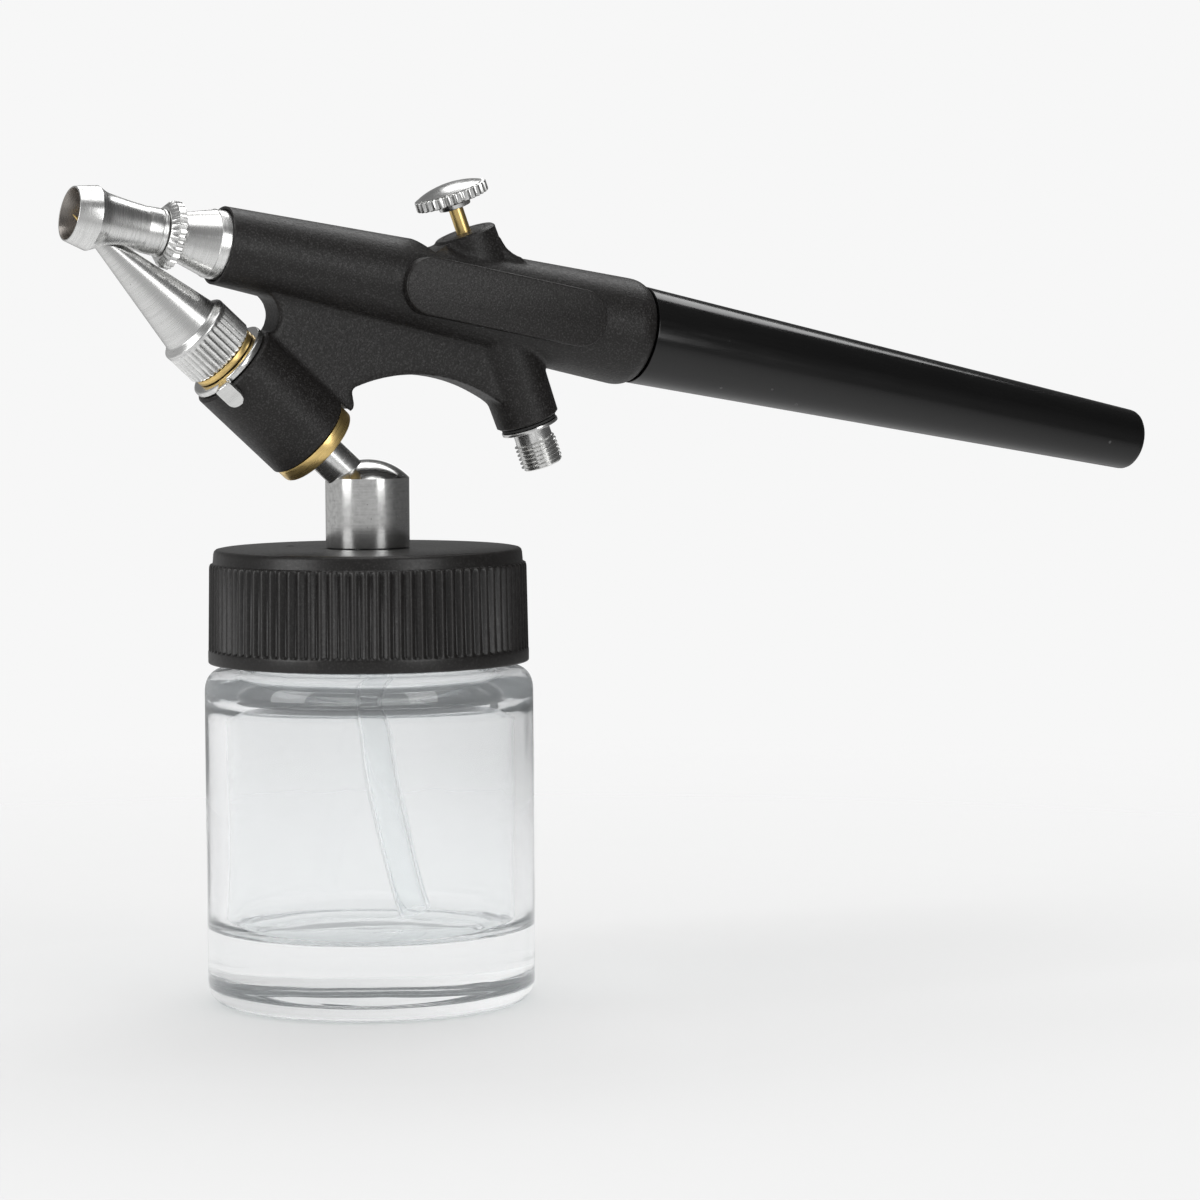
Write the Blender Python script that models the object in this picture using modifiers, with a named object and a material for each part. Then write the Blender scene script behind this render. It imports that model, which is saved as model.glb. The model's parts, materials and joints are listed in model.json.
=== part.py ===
"""Siphon-feed, external-mix airbrush gun on a small glass paint jar.

The origin is the centre of the jar's flat base, +Z is up and +X runs towards the handle.
Every outline below is in millimetres.  Three axes carry the gun's pieces, all in the plane Y = 0:
the barrel axis, the paint axis and the trigger axis.  The jar stands on the world's Z axis.
"""
import math

import bmesh
import bpy
from mathutils import Matrix, Vector

MM = 0.001

# ---- the gun's three axes -------------------------------------------------------------------
BARREL_TILT = math.radians(11.12)      # the handle falls away from the nozzle
BARREL_HEIGHT = 83.7                   # barrel axis above the jar's centre
MOUTH_AHEAD = 36.1                     # spray bell's mouth in front of the jar's axis, along X
TIP_SETBACK = 0.4                      # needle point behind the mouth
PAINT_TILT = math.radians(41.85)       # paint axis below the horizontal
TRIGGER_AT = 52.8                      # trigger axis crosses the barrel axis here
TRIGGER_TILT = math.radians(20.4)      # trigger axis leans from the vertical

# ---- stations along the barrel axis, counted from the bell's mouth -----------------------------
RING_FRONT = 11.1
RING_BACK = 12.75
BODY_FRONT = 18.2
BODY_REAR = 72.6
HANDLE_END = 145.2
BARREL_FRONT_R = 4.5
BARREL_MID_R = 5.7
BARREL_REAR_R = 6.4
HANDLE_FRONT_R = 5.8
HANDLE_END_R = 3.75

# ---- stations along the paint axis, counted from the needle's point ----------------------------
TIP_FRONT = 1.2
COLLAR_FRONT = 18.65
COLLAR_BACK = 23.6
CARRIER_FRONT = 23.7
WASHER_FRONT = 24.5
ARM_FRONT = 25.4
ARM_BACK = 37.9
BUSH_BACK = 39.65
COLLAR_R = 4.43
ARM_R = 5.45
TUBE_R = 2.2
TAB_SIDE = math.radians(40)            # washer's tab, turned from the gun's side to its underside

# ---- stations along the trigger axis, counted down from the barrel axis -------------------------
BUTTON_TOP = -14.75
BUTTON_RIM = -13.85
BUTTON_UNDER = -12.6
HUB_UNDER = -11.8
BOSS_TOP = -8.75
BOSS_END = 14.8
THREAD_START = 17.2
FITTING_END = 20.3
BUTTON_R = 4.35
STEM_R = 0.85
THREAD_R = 2.5

# ---- jar, lid and stem -----------------------------------------------------------------------
JAR_R = 18.95
JAR_FLOOR = 8.4
JAR_BORE_R = 16.5
JAR_SHOULDER = 38.8
JAR_RIM = 49.2
NECK_R = 15.0
NECK_BORE_R = 12.6
LID_BOTTOM = 39.4
LID_TOP = 52.5
LID_R = 18.5
LID_BORE_R = 16.4
STEM_TOP = 62.7
STEM_OUTER_R = 4.84
DIP_TUBE_END = 10.0
DIP_TUBE_BEND = 5.6

# ---- web under the barrel ----------------------------------------------------------------------
WEB_THICKNESS = 4.5
ARCH_CENTRE = (5.0, 52.3)
ARCH_R = 20.1
PANEL_HALF_WIDTH = 6.25                # flat name panels, left blank
PANEL_LENGTH = 26.3
PANEL_HEIGHT = 6.7
PANEL_AT = 52.4

GAP = 0.1                              # between turned pieces on one axis
SMALL = 16                             # sides of a small hidden piece
ROUND = 24                             # sides of a visible turned piece
LARGE = 40                             # sides of the jar

FINISHES = {
    "black_body": ((0.022, 0.021, 0.021), 0.55, 0.0),
    "gloss_handle": ((0.010, 0.010, 0.011), 0.16, 0.0),
    "lid_plastic": ((0.030, 0.029, 0.029), 0.48, 0.0),
    "aluminium": ((0.70, 0.70, 0.69), 0.30, 1.0),
    "steel": ((0.58, 0.58, 0.58), 0.26, 1.0),
    "brass": ((0.80, 0.56, 0.22), 0.25, 1.0),
    "rubber": ((0.020, 0.020, 0.020), 0.75, 0.0),
    "liner": ((0.86, 0.86, 0.84), 0.60, 0.0),
    "tube_plastic": ((0.86, 0.88, 0.88), 0.30, 0.0),
    "glass": ((0.92, 0.95, 0.95), 0.04, 0.0),
}


# ---- helpers ---------------------------------------------------------------------------------
def frame_along(origin, direction):
    """A matrix with local Z along direction and local Y along the world's Y."""
    z_axis = direction.normalized()
    y_axis = Vector((0.0, 1.0, 0.0))
    turn = Matrix((y_axis.cross(z_axis), y_axis, z_axis)).transposed().to_4x4()
    return Matrix.Translation(origin * MM) @ turn


def barrel_point(station):
    """The point on the barrel axis at a station, in millimetres."""
    direction = Vector((math.cos(BARREL_TILT), 0.0, -math.sin(BARREL_TILT)))
    mouth = Vector((-MOUTH_AHEAD, 0.0, BARREL_HEIGHT + MOUTH_AHEAD * math.tan(BARREL_TILT)))
    return mouth + direction * station


BARREL = frame_along(barrel_point(0.0), barrel_point(1.0) - barrel_point(0.0))
PAINT = frame_along(barrel_point(TIP_SETBACK),
                    Vector((math.cos(PAINT_TILT), 0.0, -math.sin(PAINT_TILT))))
TRIGGER = frame_along(barrel_point(TRIGGER_AT),
                      Vector((math.sin(TRIGGER_TILT), 0.0, -math.cos(TRIGGER_TILT))))
UPRIGHT = Matrix.Identity(4)
SIDE = Matrix(((1, 0, 0, 0), (0, 0, -1, 0), (0, 1, 0, 0), (0, 0, 0, 1)))    # local XY is world XZ


def clear_scene():
    for item in list(bpy.data.objects):
        bpy.data.objects.remove(item, do_unlink=True)


def new_collection(name):
    collection = bpy.data.collections.new(name)
    bpy.context.scene.collection.children.link(collection)
    return collection


def finish_material(name):
    material = bpy.data.materials.get(name)
    if material is None:
        colour, roughness, metallic = FINISHES[name]
        material = bpy.data.materials.new(name)
        material.use_nodes = True
        shader = material.node_tree.nodes["Principled BSDF"]
        shader.inputs["Base Color"].default_value = (*colour, 1.0)
        shader.inputs["Roughness"].default_value = roughness
        shader.inputs["Metallic"].default_value = metallic
    return material


def place(mesh, name, frame, finish):
    """Put a mesh in the gun's collection, or among the cutters when it has no finish."""
    item = bpy.data.objects.new(name, mesh)
    item.matrix_world = frame
    if finish:
        PARTS.objects.link(item)
        item.data.materials.append(finish_material(finish))
    else:
        CUTTERS.objects.link(item)
        item.hide_render = True
        item.display_type = "WIRE"
    return item


def side_profile(outer, bore):
    """Join an outer line and a bore, both (station, radius), into one line and say if it closes."""
    down = list(reversed(outer))
    top, bottom = (down[0][0], 0.0), (down[-1][0], 0.0)
    if not bore:
        return [top] + down + [bottom], False
    if bore[-1][1] == 0.0:
        return [top] + down + list(bore), False
    if bore[0][1] == 0.0:
        return list(bore) + down + [bottom], False
    return down + list(bore), True


def turned(name, frame, finish, outer, bore=(), sides=ROUND):
    """A turned piece: its outer line and its bore, from the lowest station to the highest."""
    profile, closed = side_profile(outer, bore)
    return turned_line(name, frame, finish, profile, closed, sides)


def turned_line(name, frame, finish, profile, closed, sides):
    count = len(profile)
    edges = [(i, i + 1) for i in range(count - 1)] + ([(count - 1, 0)] if closed else [])
    mesh = bpy.data.meshes.new(name)
    mesh.from_pydata([(radius * MM, 0.0, station * MM) for station, radius in profile], edges, [])
    item = place(mesh, name, frame, finish)
    screw = item.modifiers.new("turn", "SCREW")
    screw.steps = screw.render_steps = sides
    screw.use_merge_vertices = True
    screw.merge_threshold = 1e-6
    return item


def o_ring(name, frame, finish, station, centre_r, wire_r, wire_sides=6):
    angles = [math.pi / 2 - 2 * math.pi * i / wire_sides for i in range(wire_sides)]
    line = [(station + wire_r * math.sin(a), centre_r + wire_r * math.cos(a)) for a in angles]
    return turned_line(name, frame, finish, line, True, SMALL)


def ridged(name, frame, finish, outer, bore, ridges, depth, band):
    """A turned piece whose outside is cut into straight ridges between two stations."""
    profile, closed = side_profile(outer, bore)
    ring_bm = bmesh.new()
    points = [ring_bm.verts.new((radius * MM, 0.0, station * MM)) for station, radius in profile]
    for i in range(len(points) - 1):
        ring_bm.edges.new((points[i], points[i + 1]))
    if closed:
        ring_bm.edges.new((points[-1], points[0]))
    bmesh.ops.spin(ring_bm, geom=ring_bm.verts[:] + ring_bm.edges[:], axis=(0, 0, 1),
                   cent=(0, 0, 0), angle=2 * math.pi, steps=2 * ridges, use_merge=True)
    bmesh.ops.remove_doubles(ring_bm, verts=ring_bm.verts[:], dist=1e-6)
    outer_r = {round(station, 4): radius for station, radius in outer}
    for vert in ring_bm.verts:
        radius = math.hypot(vert.co.x, vert.co.y)
        station = round(vert.co.z / MM, 4)
        on_outside = abs(outer_r.get(station, 0.0) - radius / MM) < 0.01
        column = round(math.atan2(vert.co.y, vert.co.x) * ridges / math.pi)
        if on_outside and band[0] < station < band[1] and column % 2:
            shrink = 1.0 - depth * MM / radius
            vert.co.x *= shrink
            vert.co.y *= shrink
    bmesh.ops.recalc_face_normals(ring_bm, faces=ring_bm.faces[:])
    mesh = bpy.data.meshes.new(name)
    ring_bm.to_mesh(mesh)
    ring_bm.free()
    return place(mesh, name, frame, finish)


def plate(name, frame, finish, outline, thickness):
    """A flat plate with the outline in the frame's XY plane, centred on it."""
    curve = bpy.data.curves.new(name, "CURVE")
    curve.dimensions = "2D"
    curve.fill_mode = "BOTH"
    curve.extrude = thickness * MM / 2
    spline = curve.splines.new("POLY")
    spline.points.add(len(outline) - 1)
    for point, (x, y) in zip(spline.points, outline):
        point.co = (x * MM, y * MM, 0.0, 1.0)
    spline.use_cyclic_u = True
    drawn = bpy.data.objects.new(name + "_outline", curve)
    CUTTERS.objects.link(drawn)
    mesh = bpy.data.meshes.new_from_object(drawn.evaluated_get(bpy.context.evaluated_depsgraph_get()))
    bpy.data.objects.remove(drawn, do_unlink=True)
    plate_bm = bmesh.new()
    plate_bm.from_mesh(mesh)
    bmesh.ops.remove_doubles(plate_bm, verts=plate_bm.verts[:], dist=1e-6)
    bmesh.ops.recalc_face_normals(plate_bm, faces=plate_bm.faces[:])
    plate_bm.to_mesh(mesh)
    plate_bm.free()
    return place(mesh, name, frame, finish)


def arc(centre, radius, start_deg, end_deg, steps):
    """Points on an arc, ends included."""
    turns = [math.radians(start_deg + (end_deg - start_deg) * i / steps) for i in range(steps + 1)]
    return [(centre[0] + radius * math.cos(a), centre[1] + radius * math.sin(a)) for a in turns]


def join(item, other, operation="UNION"):
    boolean = item.modifiers.new(operation.lower() + "_" + other.name, "BOOLEAN")
    boolean.operation = operation
    boolean.object = other
    boolean.solver = "EXACT"


def cut(item, other):
    join(item, other, "DIFFERENCE")


# ---- body shell: barrel, paint arm, trigger boss, inlet boss, web and panels -----------------
def paint_point(station, above):
    """World X and Z of a point beside the paint axis, on its upper side."""
    point = PAINT @ Vector((-above * MM, 0.0, station * MM)) / MM
    return point.x, point.z


def web_outline():
    """Panel between the paint arm, the barrel and the inlet boss, in world X and Z."""
    front_edge = arc((-14.5, 79.4), 2.8, 55, -55, 6)
    inside_arm = [paint_point(29.0, 2.5), paint_point(ARM_BACK + 0.3, 3.0)]
    lip = arc((-3.3, 69.1), 0.9, -110, 40, 5)
    arch = arc(ARCH_CENTRE, ARCH_R, 112.5, 53, 9)
    inside_boss = [(19.0, 69.0), (20.0, 73.0), (19.0, 79.5)]
    inside_barrel = [(-10.0, 85.5), (-13.5, 84.5)]
    return front_edge + inside_arm + lip + arch + inside_boss + inside_barrel


def boss_gusset_outline():
    """Sweep from the back of the trigger boss down onto the barrel, in world X and Z."""
    sweep = arc((19.7, 89.7), 3.9, 200.4, 258.9, 6)
    return sweep + [(20.5, 81.5), (12.0, 82.5), (13.5, 87.5)]


def obround_outline(length, height, steps=8):
    half = (length - height) / 2
    left = arc((-half, 0.0), height / 2, 90, 270, steps)
    right = arc((half, 0.0), height / 2, -90, 90, steps)
    return left + right


def make_body_shell():
    barrel = turned("body_shell", BARREL, "black_body", [
        (BODY_FRONT, BARREL_FRONT_R - 0.15), (BODY_FRONT + 0.2, BARREL_FRONT_R),
        (TRIGGER_AT - 3.5, BARREL_MID_R), (BODY_REAR - 1.3, BARREL_REAR_R),
        (BODY_REAR - 0.3, BARREL_REAR_R - 0.45), (BODY_REAR, BARREL_REAR_R - 0.8)], sides=32)
    arm = turned("arm_blank", PAINT, None, [
        (ARM_FRONT, ARM_R - 0.3), (ARM_FRONT + 0.3, ARM_R), (ARM_BACK + 0.5, ARM_R)])
    boss = turned("boss_blank", TRIGGER, None, [
        (BOSS_TOP, 3.5), (BOSS_TOP + 0.2, 3.7), (5.0, 4.0), (BOSS_END - 0.3, 3.75),
        (BOSS_END, 3.45)])
    web = plate("web_blank", SIDE, None, web_outline(), WEB_THICKNESS)
    gusset = plate("gusset_blank", SIDE, None, boss_gusset_outline(), 6.2)
    panel_frame = Matrix.Translation(barrel_point(PANEL_AT) * MM) @ Matrix.Rotation(
        BARREL_TILT, 4, "Y") @ SIDE
    panels = plate("panel_blank", panel_frame, None,
                   obround_outline(PANEL_LENGTH, PANEL_HEIGHT), 2 * PANEL_HALF_WIDTH)
    for blank in (arm, boss, web, gusset, panels):
        join(barrel, blank)

    bores = [
        turned("head_socket", BARREL, None, [(BODY_FRONT - 1, 4.2), (BODY_FRONT + 0.6, 4.2),
                                             (BODY_FRONT + 0.6, 3.5), (27.0, 3.5)]),
        turned("air_gallery", BARREL, None, [(26.0, 1.3), (TRIGGER_AT, 1.3)], sides=SMALL),
        turned("handle_socket", BARREL, None, [(64.0, 4.7), (BODY_REAR + 1, 4.7)]),
        turned("gland_bore", TRIGGER, None, [(BOSS_TOP - 1, 2.6), (-4.5, 2.6), (-4.5, 1.6),
                                             (4.2, 1.6), (4.2, 2.6), (BOSS_END + 1, 2.6)]),
        turned("paint_bore", PAINT, None, [(ARM_FRONT - 1, 3.0), (31.2, 3.0), (31.2, 1.1),
                                           (31.9, 1.1), (31.9, 3.6), (ARM_BACK, 3.6),
                                           (ARM_BACK, 5.6), (ARM_BACK + 4, 5.6)]),
    ]
    for bore in bores:
        cut(barrel, bore)


# ---- air head: bell, lock ring, head cone ------------------------------------------------------
def cone_radius(station, spare=0.0):
    """Radius of the paint tip's cone at a station of the paint axis."""
    return 0.187 * (station + 1.0) + spare


def make_air_head():
    bell = turned("spray_bell", BARREL, "aluminium", [
        (0.0, 3.1), (0.15, 3.2), (2.6, 3.72), (3.7, 3.2), (6.3, 2.85), (9.8, 2.65),
        (RING_FRONT - GAP, 2.75)], bore=[
        (0.0, 2.9), (2.6, 2.5), (3.6, 0.5), (8.3, 0.5), (8.3, 1.9), (RING_FRONT - GAP, 1.9)])
    notch = turned("tip_notch", PAINT, None, [
        (2.4, cone_radius(2.4, 0.45)), (14.0, cone_radius(14.0, 0.45))])
    cut(bell, notch)

    ridged("lock_ring", BARREL, "aluminium",
           [(RING_FRONT, 3.1), (RING_FRONT + 0.75, 3.85), (RING_BACK - 0.15, 3.9),
            (RING_BACK, 3.7)],
           [(RING_FRONT, 1.9), (RING_BACK, 1.9)], 24, 0.22,
           (RING_FRONT + 0.1, RING_BACK + 0.1))

    turned("head_cone", BARREL, "aluminium", [
        (8.6, 1.8), (RING_BACK + GAP, 1.8), (RING_BACK + GAP, 2.7), (17.0, 3.95),
        (BODY_FRONT + 0.5, 4.0), (BODY_FRONT + 0.5, 3.4), (22.4, 3.4), (22.4, 2.6), (23.4, 2.6),
        (23.4, 3.4), (26.6, 3.4)], bore=[(8.6, 0.7), (26.6, 0.7)])
    o_ring("head_o_ring", BARREL, "rubber", 22.9, 3.03, 0.34)


# ---- handle ------------------------------------------------------------------------------------
def make_handle():
    round_r = 1.0
    end = [(HANDLE_END - round_r + round_r * math.sin(a), HANDLE_END_R - round_r + round_r * math.cos(a))
           for a in (math.radians(d) for d in (0, 30, 60, 90))]
    turned("handle", BARREL, "gloss_handle",
           [(64.4, 4.6), (BODY_REAR + GAP, 4.6), (BODY_REAR + GAP, HANDLE_FRONT_R)] + end,
           bore=[(64.4, 3.5), (BODY_REAR, 3.5), (HANDLE_END - 4.0, 2.2), (HANDLE_END - 4.0, 0.0)])


# ---- paint tip, needle and the seat they screw on ------------------------------------------------
def make_paint_tip():
    ridged("fluid_tip", PAINT, "aluminium",
           [(TIP_FRONT, cone_radius(TIP_FRONT)), (COLLAR_FRONT, cone_radius(COLLAR_FRONT)),
            (COLLAR_FRONT + 0.6, COLLAR_R), (COLLAR_BACK - 0.3, COLLAR_R),
            (COLLAR_BACK, COLLAR_R - 0.3)],
           [(TIP_FRONT, 0.34), (14.0, 2.1), (17.6, 2.1), (17.6, 2.75), (19.2, 2.75),
            (19.2, 2.6), (COLLAR_BACK, 2.6)], 24, 0.28, (COLLAR_FRONT + 0.1, COLLAR_BACK + 0.1))
    o_ring("tip_seal", PAINT, "rubber", 18.4, 2.32, 0.34)

    carrier = turned("needle_carrier", PAINT, "brass", [
        (15.2, 1.4), (17.8, 1.4), (17.8, 1.85), (19.6, 1.85), (19.6, 2.5), (CARRIER_FRONT, 2.5),
        (CARRIER_FRONT, 4.1), (WASHER_FRONT - GAP, 4.1), (WASHER_FRONT - GAP, 2.9), (31.0, 2.9)],
        bore=[(15.2, 0.65), (16.4, 0.65), (16.4, 1.0), (31.0, 1.0)])
    port_frame = PAINT @ Matrix.Translation((0, 0, 17.2 * MM)) @ Matrix.Rotation(
        math.pi / 2, 4, "X")
    cut(carrier, turned("port_drill", port_frame, None, [(-3.0, 0.4), (3.0, 0.4)], sides=8))

    turned("fluid_needle", PAINT, "brass",
           [(0.0, 0.05), (TIP_FRONT, 0.27), (5.0, 0.5), (16.3, 0.55)], sides=12)

    washer = turned("tab_washer", PAINT, "steel",
                    [(WASHER_FRONT, 4.9), (WASHER_FRONT + 0.2, 5.1),
                     (ARM_FRONT - 0.3, 5.1), (ARM_FRONT - GAP, 4.9)],
                    bore=[(WASHER_FRONT, 3.05), (ARM_FRONT - GAP, 3.05)])
    tongue_side = Matrix.Rotation(-math.pi / 2, 4, "Y")
    tab_side = PAINT @ Matrix.Rotation(TAB_SIDE, 4, "Z")
    tab_frame = tab_side @ Matrix.Translation((0, -5.95 * MM, 0)) @ Matrix.Rotation(
        math.pi / 2, 4, "X") @ Matrix.Rotation(math.pi / 2, 4, "Z")
    tab_length = 3.2
    tab = [(WASHER_FRONT, -1.05)] + [
        (WASHER_FRONT + tab_length - 1.05 + x, y) for x, y in arc((0, 0), 1.05, -90, 90, 8)] + [
        (WASHER_FRONT, 1.05)]
    join(washer, plate("tab_blank", tab_frame, None, tab, 0.7))
    tongue_frame = tab_side @ Matrix.Translation(
        (0, -5.0 * MM, (WASHER_FRONT + 0.35) * MM)) @ tongue_side
    tongue = [(-0.33, -1.2), (0.33, -1.2), (0.33, 0.8), (-0.33, 0.8)]
    join(washer, plate("tongue_blank", tongue_frame, None, tongue, 1.5))


# ---- siphon socket, tube and stem ----------------------------------------------------------------
def make_siphon():
    turned("socket_bush", PAINT, "brass", [
        (33.0, 3.5), (ARM_BACK + GAP, 3.5), (ARM_BACK + GAP, 5.2), (BUSH_BACK - 0.3, 5.2),
        (BUSH_BACK, 4.9)], bore=[(33.0, TUBE_R + GAP), (BUSH_BACK, TUBE_R + GAP)])
    o_ring("socket_o_ring", PAINT, "rubber", 32.45, 2.85, 0.42)
    tube_end = 47.0
    turned("siphon_tube", PAINT, "steel",
           [(32.1, TUBE_R - 0.2), (32.3, TUBE_R), (tube_end, TUBE_R)],
           bore=[(32.1, 1.2), (tube_end, 1.2)])

    cap_height = 2.1
    cap_r = (STEM_OUTER_R ** 2 + cap_height ** 2) / (2 * cap_height)
    dome = [(STEM_TOP - cap_r + math.sqrt(cap_r ** 2 - r ** 2), r)
            for r in (STEM_OUTER_R, 4.0, 2.8, 1.4)]
    adapter = turned("stem_adapter", UPRIGHT, "aluminium", [
        (42.0, 1.15), (42.4, 1.3), (47.1, 1.3), (47.1, 2.9), (LID_TOP + GAP, 2.9),
        (LID_TOP + GAP, STEM_OUTER_R)] + dome, bore=[(42.0, 0.75), (57.0, 0.75), (57.0, 0.0)],
        sides=20)
    cut(adapter, turned("tube_socket", PAINT, None,
                        [(38.0, TUBE_R + 0.15), (tube_end + 0.3, TUBE_R + 0.15),
                         (tube_end + 0.3, 1.0), (49.5, 1.0)], sides=ROUND))

    nut = turned("stem_nut", UPRIGHT, "steel", [(48.9, 4.5), (LID_TOP - 1.9, 4.5)], sides=6)
    cut(nut, turned("nut_bore", UPRIGHT, None, [(47.0, 3.0), (52.0, 3.0)], sides=20))

    top, steps = 46.5, 10
    route = [(DIP_TUBE_BEND * (i / steps) ** 2.2, top + (DIP_TUBE_END - top) * i / steps)
             for i in range(steps + 1)]
    curve = bpy.data.curves.new("dip_tube", "CURVE")
    curve.dimensions = "3D"
    curve.bevel_depth = 2.0 * MM
    curve.bevel_resolution = 2
    spline = curve.splines.new("POLY")
    spline.points.add(len(route) - 1)
    for point, (x, z) in zip(spline.points, route):
        point.co = (x * MM, 0.0, z * MM, 1.0)
    tube = bpy.data.objects.new("dip_tube", curve)
    PARTS.objects.link(tube)
    curve.materials.append(finish_material("tube_plastic"))
    wall = tube.modifiers.new("wall", "SOLIDIFY")
    wall.thickness = 0.5 * MM
    wall.offset = -1.0


# ---- trigger and air valve -----------------------------------------------------------------------
def make_trigger():
    ridged("trigger_button", TRIGGER, "steel",
           [(BUTTON_TOP, 1.2), (BUTTON_TOP + 0.15, 2.6), (BUTTON_RIM - 0.15, 4.0),
            (BUTTON_RIM + 0.1, BUTTON_R), (BUTTON_UNDER - 0.15, BUTTON_R), (BUTTON_UNDER, 4.15),
            (BUTTON_UNDER, 1.9), (HUB_UNDER, 1.9)],
           [(BUTTON_TOP + 1.0, 0.0), (BUTTON_TOP + 1.0, STEM_R + GAP), (HUB_UNDER, STEM_R + GAP)],
           24, 0.24, (BUTTON_RIM - 0.3, BUTTON_UNDER + 0.1))
    turned("trigger_stem", TRIGGER, "brass",
           [(BUTTON_TOP + 1.1, STEM_R), (-0.4, STEM_R)], sides=SMALL)
    turned("stem_gland", TRIGGER, "black_body", [(BOSS_TOP, 2.5), (-6.2, 2.5)],
           bore=[(BOSS_TOP, STEM_R + GAP), (-6.2, STEM_R + GAP)], sides=SMALL)
    o_ring("stem_seal", TRIGGER, "rubber", -5.4, 1.6, 0.6)
    turned("valve_seat", TRIGGER, "rubber", [(4.35, 2.45), (5.15, 2.45)],
           bore=[(4.35, 1.1), (5.15, 1.1)], sides=SMALL)
    turned("valve_plunger", TRIGGER, "brass",
           [(-0.3, 0.7), (5.25, 0.7), (5.25, 1.9), (6.3, 1.9), (6.3, 0.9), (7.6, 0.9)],
           sides=SMALL)
    make_valve_spring()
    turned("inlet_fitting", TRIGGER, "steel", [
        (10.2, 2.5), (BOSS_END + 0.45, 2.5), (BOSS_END + 0.45, 3.4), (BOSS_END + 0.85, 3.4),
        (BOSS_END + 0.85, 2.15), (THREAD_START - 0.25, 2.15), (THREAD_START, THREAD_R),
        (FITTING_END - 0.35, THREAD_R), (FITTING_END, THREAD_R - 0.35)],
        bore=[(10.2, 1.15), (FITTING_END, 1.15)])
    turned("inlet_gasket", TRIGGER, "rubber", [(BOSS_END + GAP, 3.3), (BOSS_END + 0.35, 3.3)],
           bore=[(BOSS_END + GAP, 2.6), (BOSS_END + 0.35, 2.6)], sides=ROUND)


def make_valve_spring():
    turns, coil_r, wire_r = 3.5, 1.5, 0.2
    points_per_turn = 8
    start, end = 6.3 + GAP + wire_r, 10.2 - GAP - wire_r
    steps = int(turns * points_per_turn)
    curve = bpy.data.curves.new("valve_spring", "CURVE")
    curve.dimensions = "3D"
    curve.bevel_depth = wire_r * MM
    curve.bevel_resolution = 1
    curve.use_fill_caps = True
    spline = curve.splines.new("POLY")
    spline.points.add(steps)
    for i, point in enumerate(spline.points):
        turn = 2 * math.pi * turns * i / steps
        point.co = (coil_r * MM * math.cos(turn), coil_r * MM * math.sin(turn),
                    (start + (end - start) * i / steps) * MM, 1.0)
    spring = bpy.data.objects.new("valve_spring", curve)
    spring.matrix_world = TRIGGER
    PARTS.objects.link(spring)
    curve.materials.append(finish_material("steel"))


# ---- jar and lid ---------------------------------------------------------------------------------
def make_lid():
    vent_at = Matrix.Translation((-6.0 * MM, 8.5 * MM, 0.0))
    lid = ridged("lid", UPRIGHT, "lid_plastic",
                 [(LID_BOTTOM, LID_R - 0.3), (LID_BOTTOM + 0.3, LID_R), (LID_BOTTOM + 1.4, LID_R),
                  (LID_BOTTOM + 1.5, LID_R - 0.05), (LID_TOP - 1.7, LID_R - 0.2),
                  (LID_TOP - 0.5, 17.9), (LID_TOP, 17.3)],
                 [(LID_BOTTOM, LID_BORE_R), (LID_TOP - 1.8, LID_BORE_R), (LID_TOP - 1.8, 3.1),
                  (LID_TOP, 3.1)], 48, 0.4, (LID_BOTTOM + 1.45, LID_TOP - 1.5))
    liner = turned("lid_liner", UPRIGHT, "liner", [(49.4, 15.8), (LID_TOP - 1.9, 15.8)],
                   bore=[(49.4, 5.1), (LID_TOP - 1.9, 5.1)], sides=ROUND)
    for piece in (lid, liner):
        cut(piece, turned(piece.name + "_vent", vent_at, None, [(48.0, 0.5), (53.0, 0.5)], sides=12))


def make_jar():
    corner, inner_corner, shoulder = 2.6, 2.2, 2.8
    foot = [(corner - corner * math.cos(a), JAR_R - corner + corner * math.sin(a))
            for a in (math.radians(d) for d in (0, 45, 90))]
    top = [(JAR_SHOULDER - shoulder + shoulder * math.sin(a),
            JAR_R - shoulder + shoulder * math.cos(a))
           for a in (math.radians(d) for d in (0, 45, 90))]
    thread_z = 44.0
    neck = [(JAR_SHOULDER, NECK_R), (thread_z - 0.9, NECK_R), (thread_z - 0.3, NECK_R + 0.9),
            (thread_z + 0.3, NECK_R + 0.9), (thread_z + 0.9, NECK_R), (JAR_RIM - 0.4, NECK_R),
            (JAR_RIM, NECK_R - 0.4)]
    bore = [(JAR_FLOOR, 0.0), (JAR_FLOOR, JAR_BORE_R - inner_corner),
            (JAR_FLOOR + 0.7, JAR_BORE_R - 0.7), (JAR_FLOOR + inner_corner, JAR_BORE_R),
            (32.9, JAR_BORE_R), (35.7, JAR_BORE_R - 1.1), (38.1, NECK_BORE_R),
            (JAR_RIM, NECK_BORE_R)]
    turned("jar", UPRIGHT, "glass", foot + top + neck, bore=bore, sides=LARGE)


clear_scene()
PARTS = new_collection("airbrush_gun")
CUTTERS = new_collection("cutters")
make_body_shell()
make_air_head()
make_handle()
make_paint_tip()
make_siphon()
make_trigger()
make_lid()
make_jar()
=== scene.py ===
"""Looks of a siphon-feed airbrush gun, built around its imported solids.

Each new piece is drawn in millimetres about its own axis, its local Z, and then put in place on
one of the gun's four axes.  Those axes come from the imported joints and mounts.
"""
import json
import logging
import math
from dataclasses import dataclass
from enum import Enum
from functools import cache
from typing import Any, Callable, Optional, Sequence

import bmesh
import bpy
from mathutils import Matrix, Vector


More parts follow.
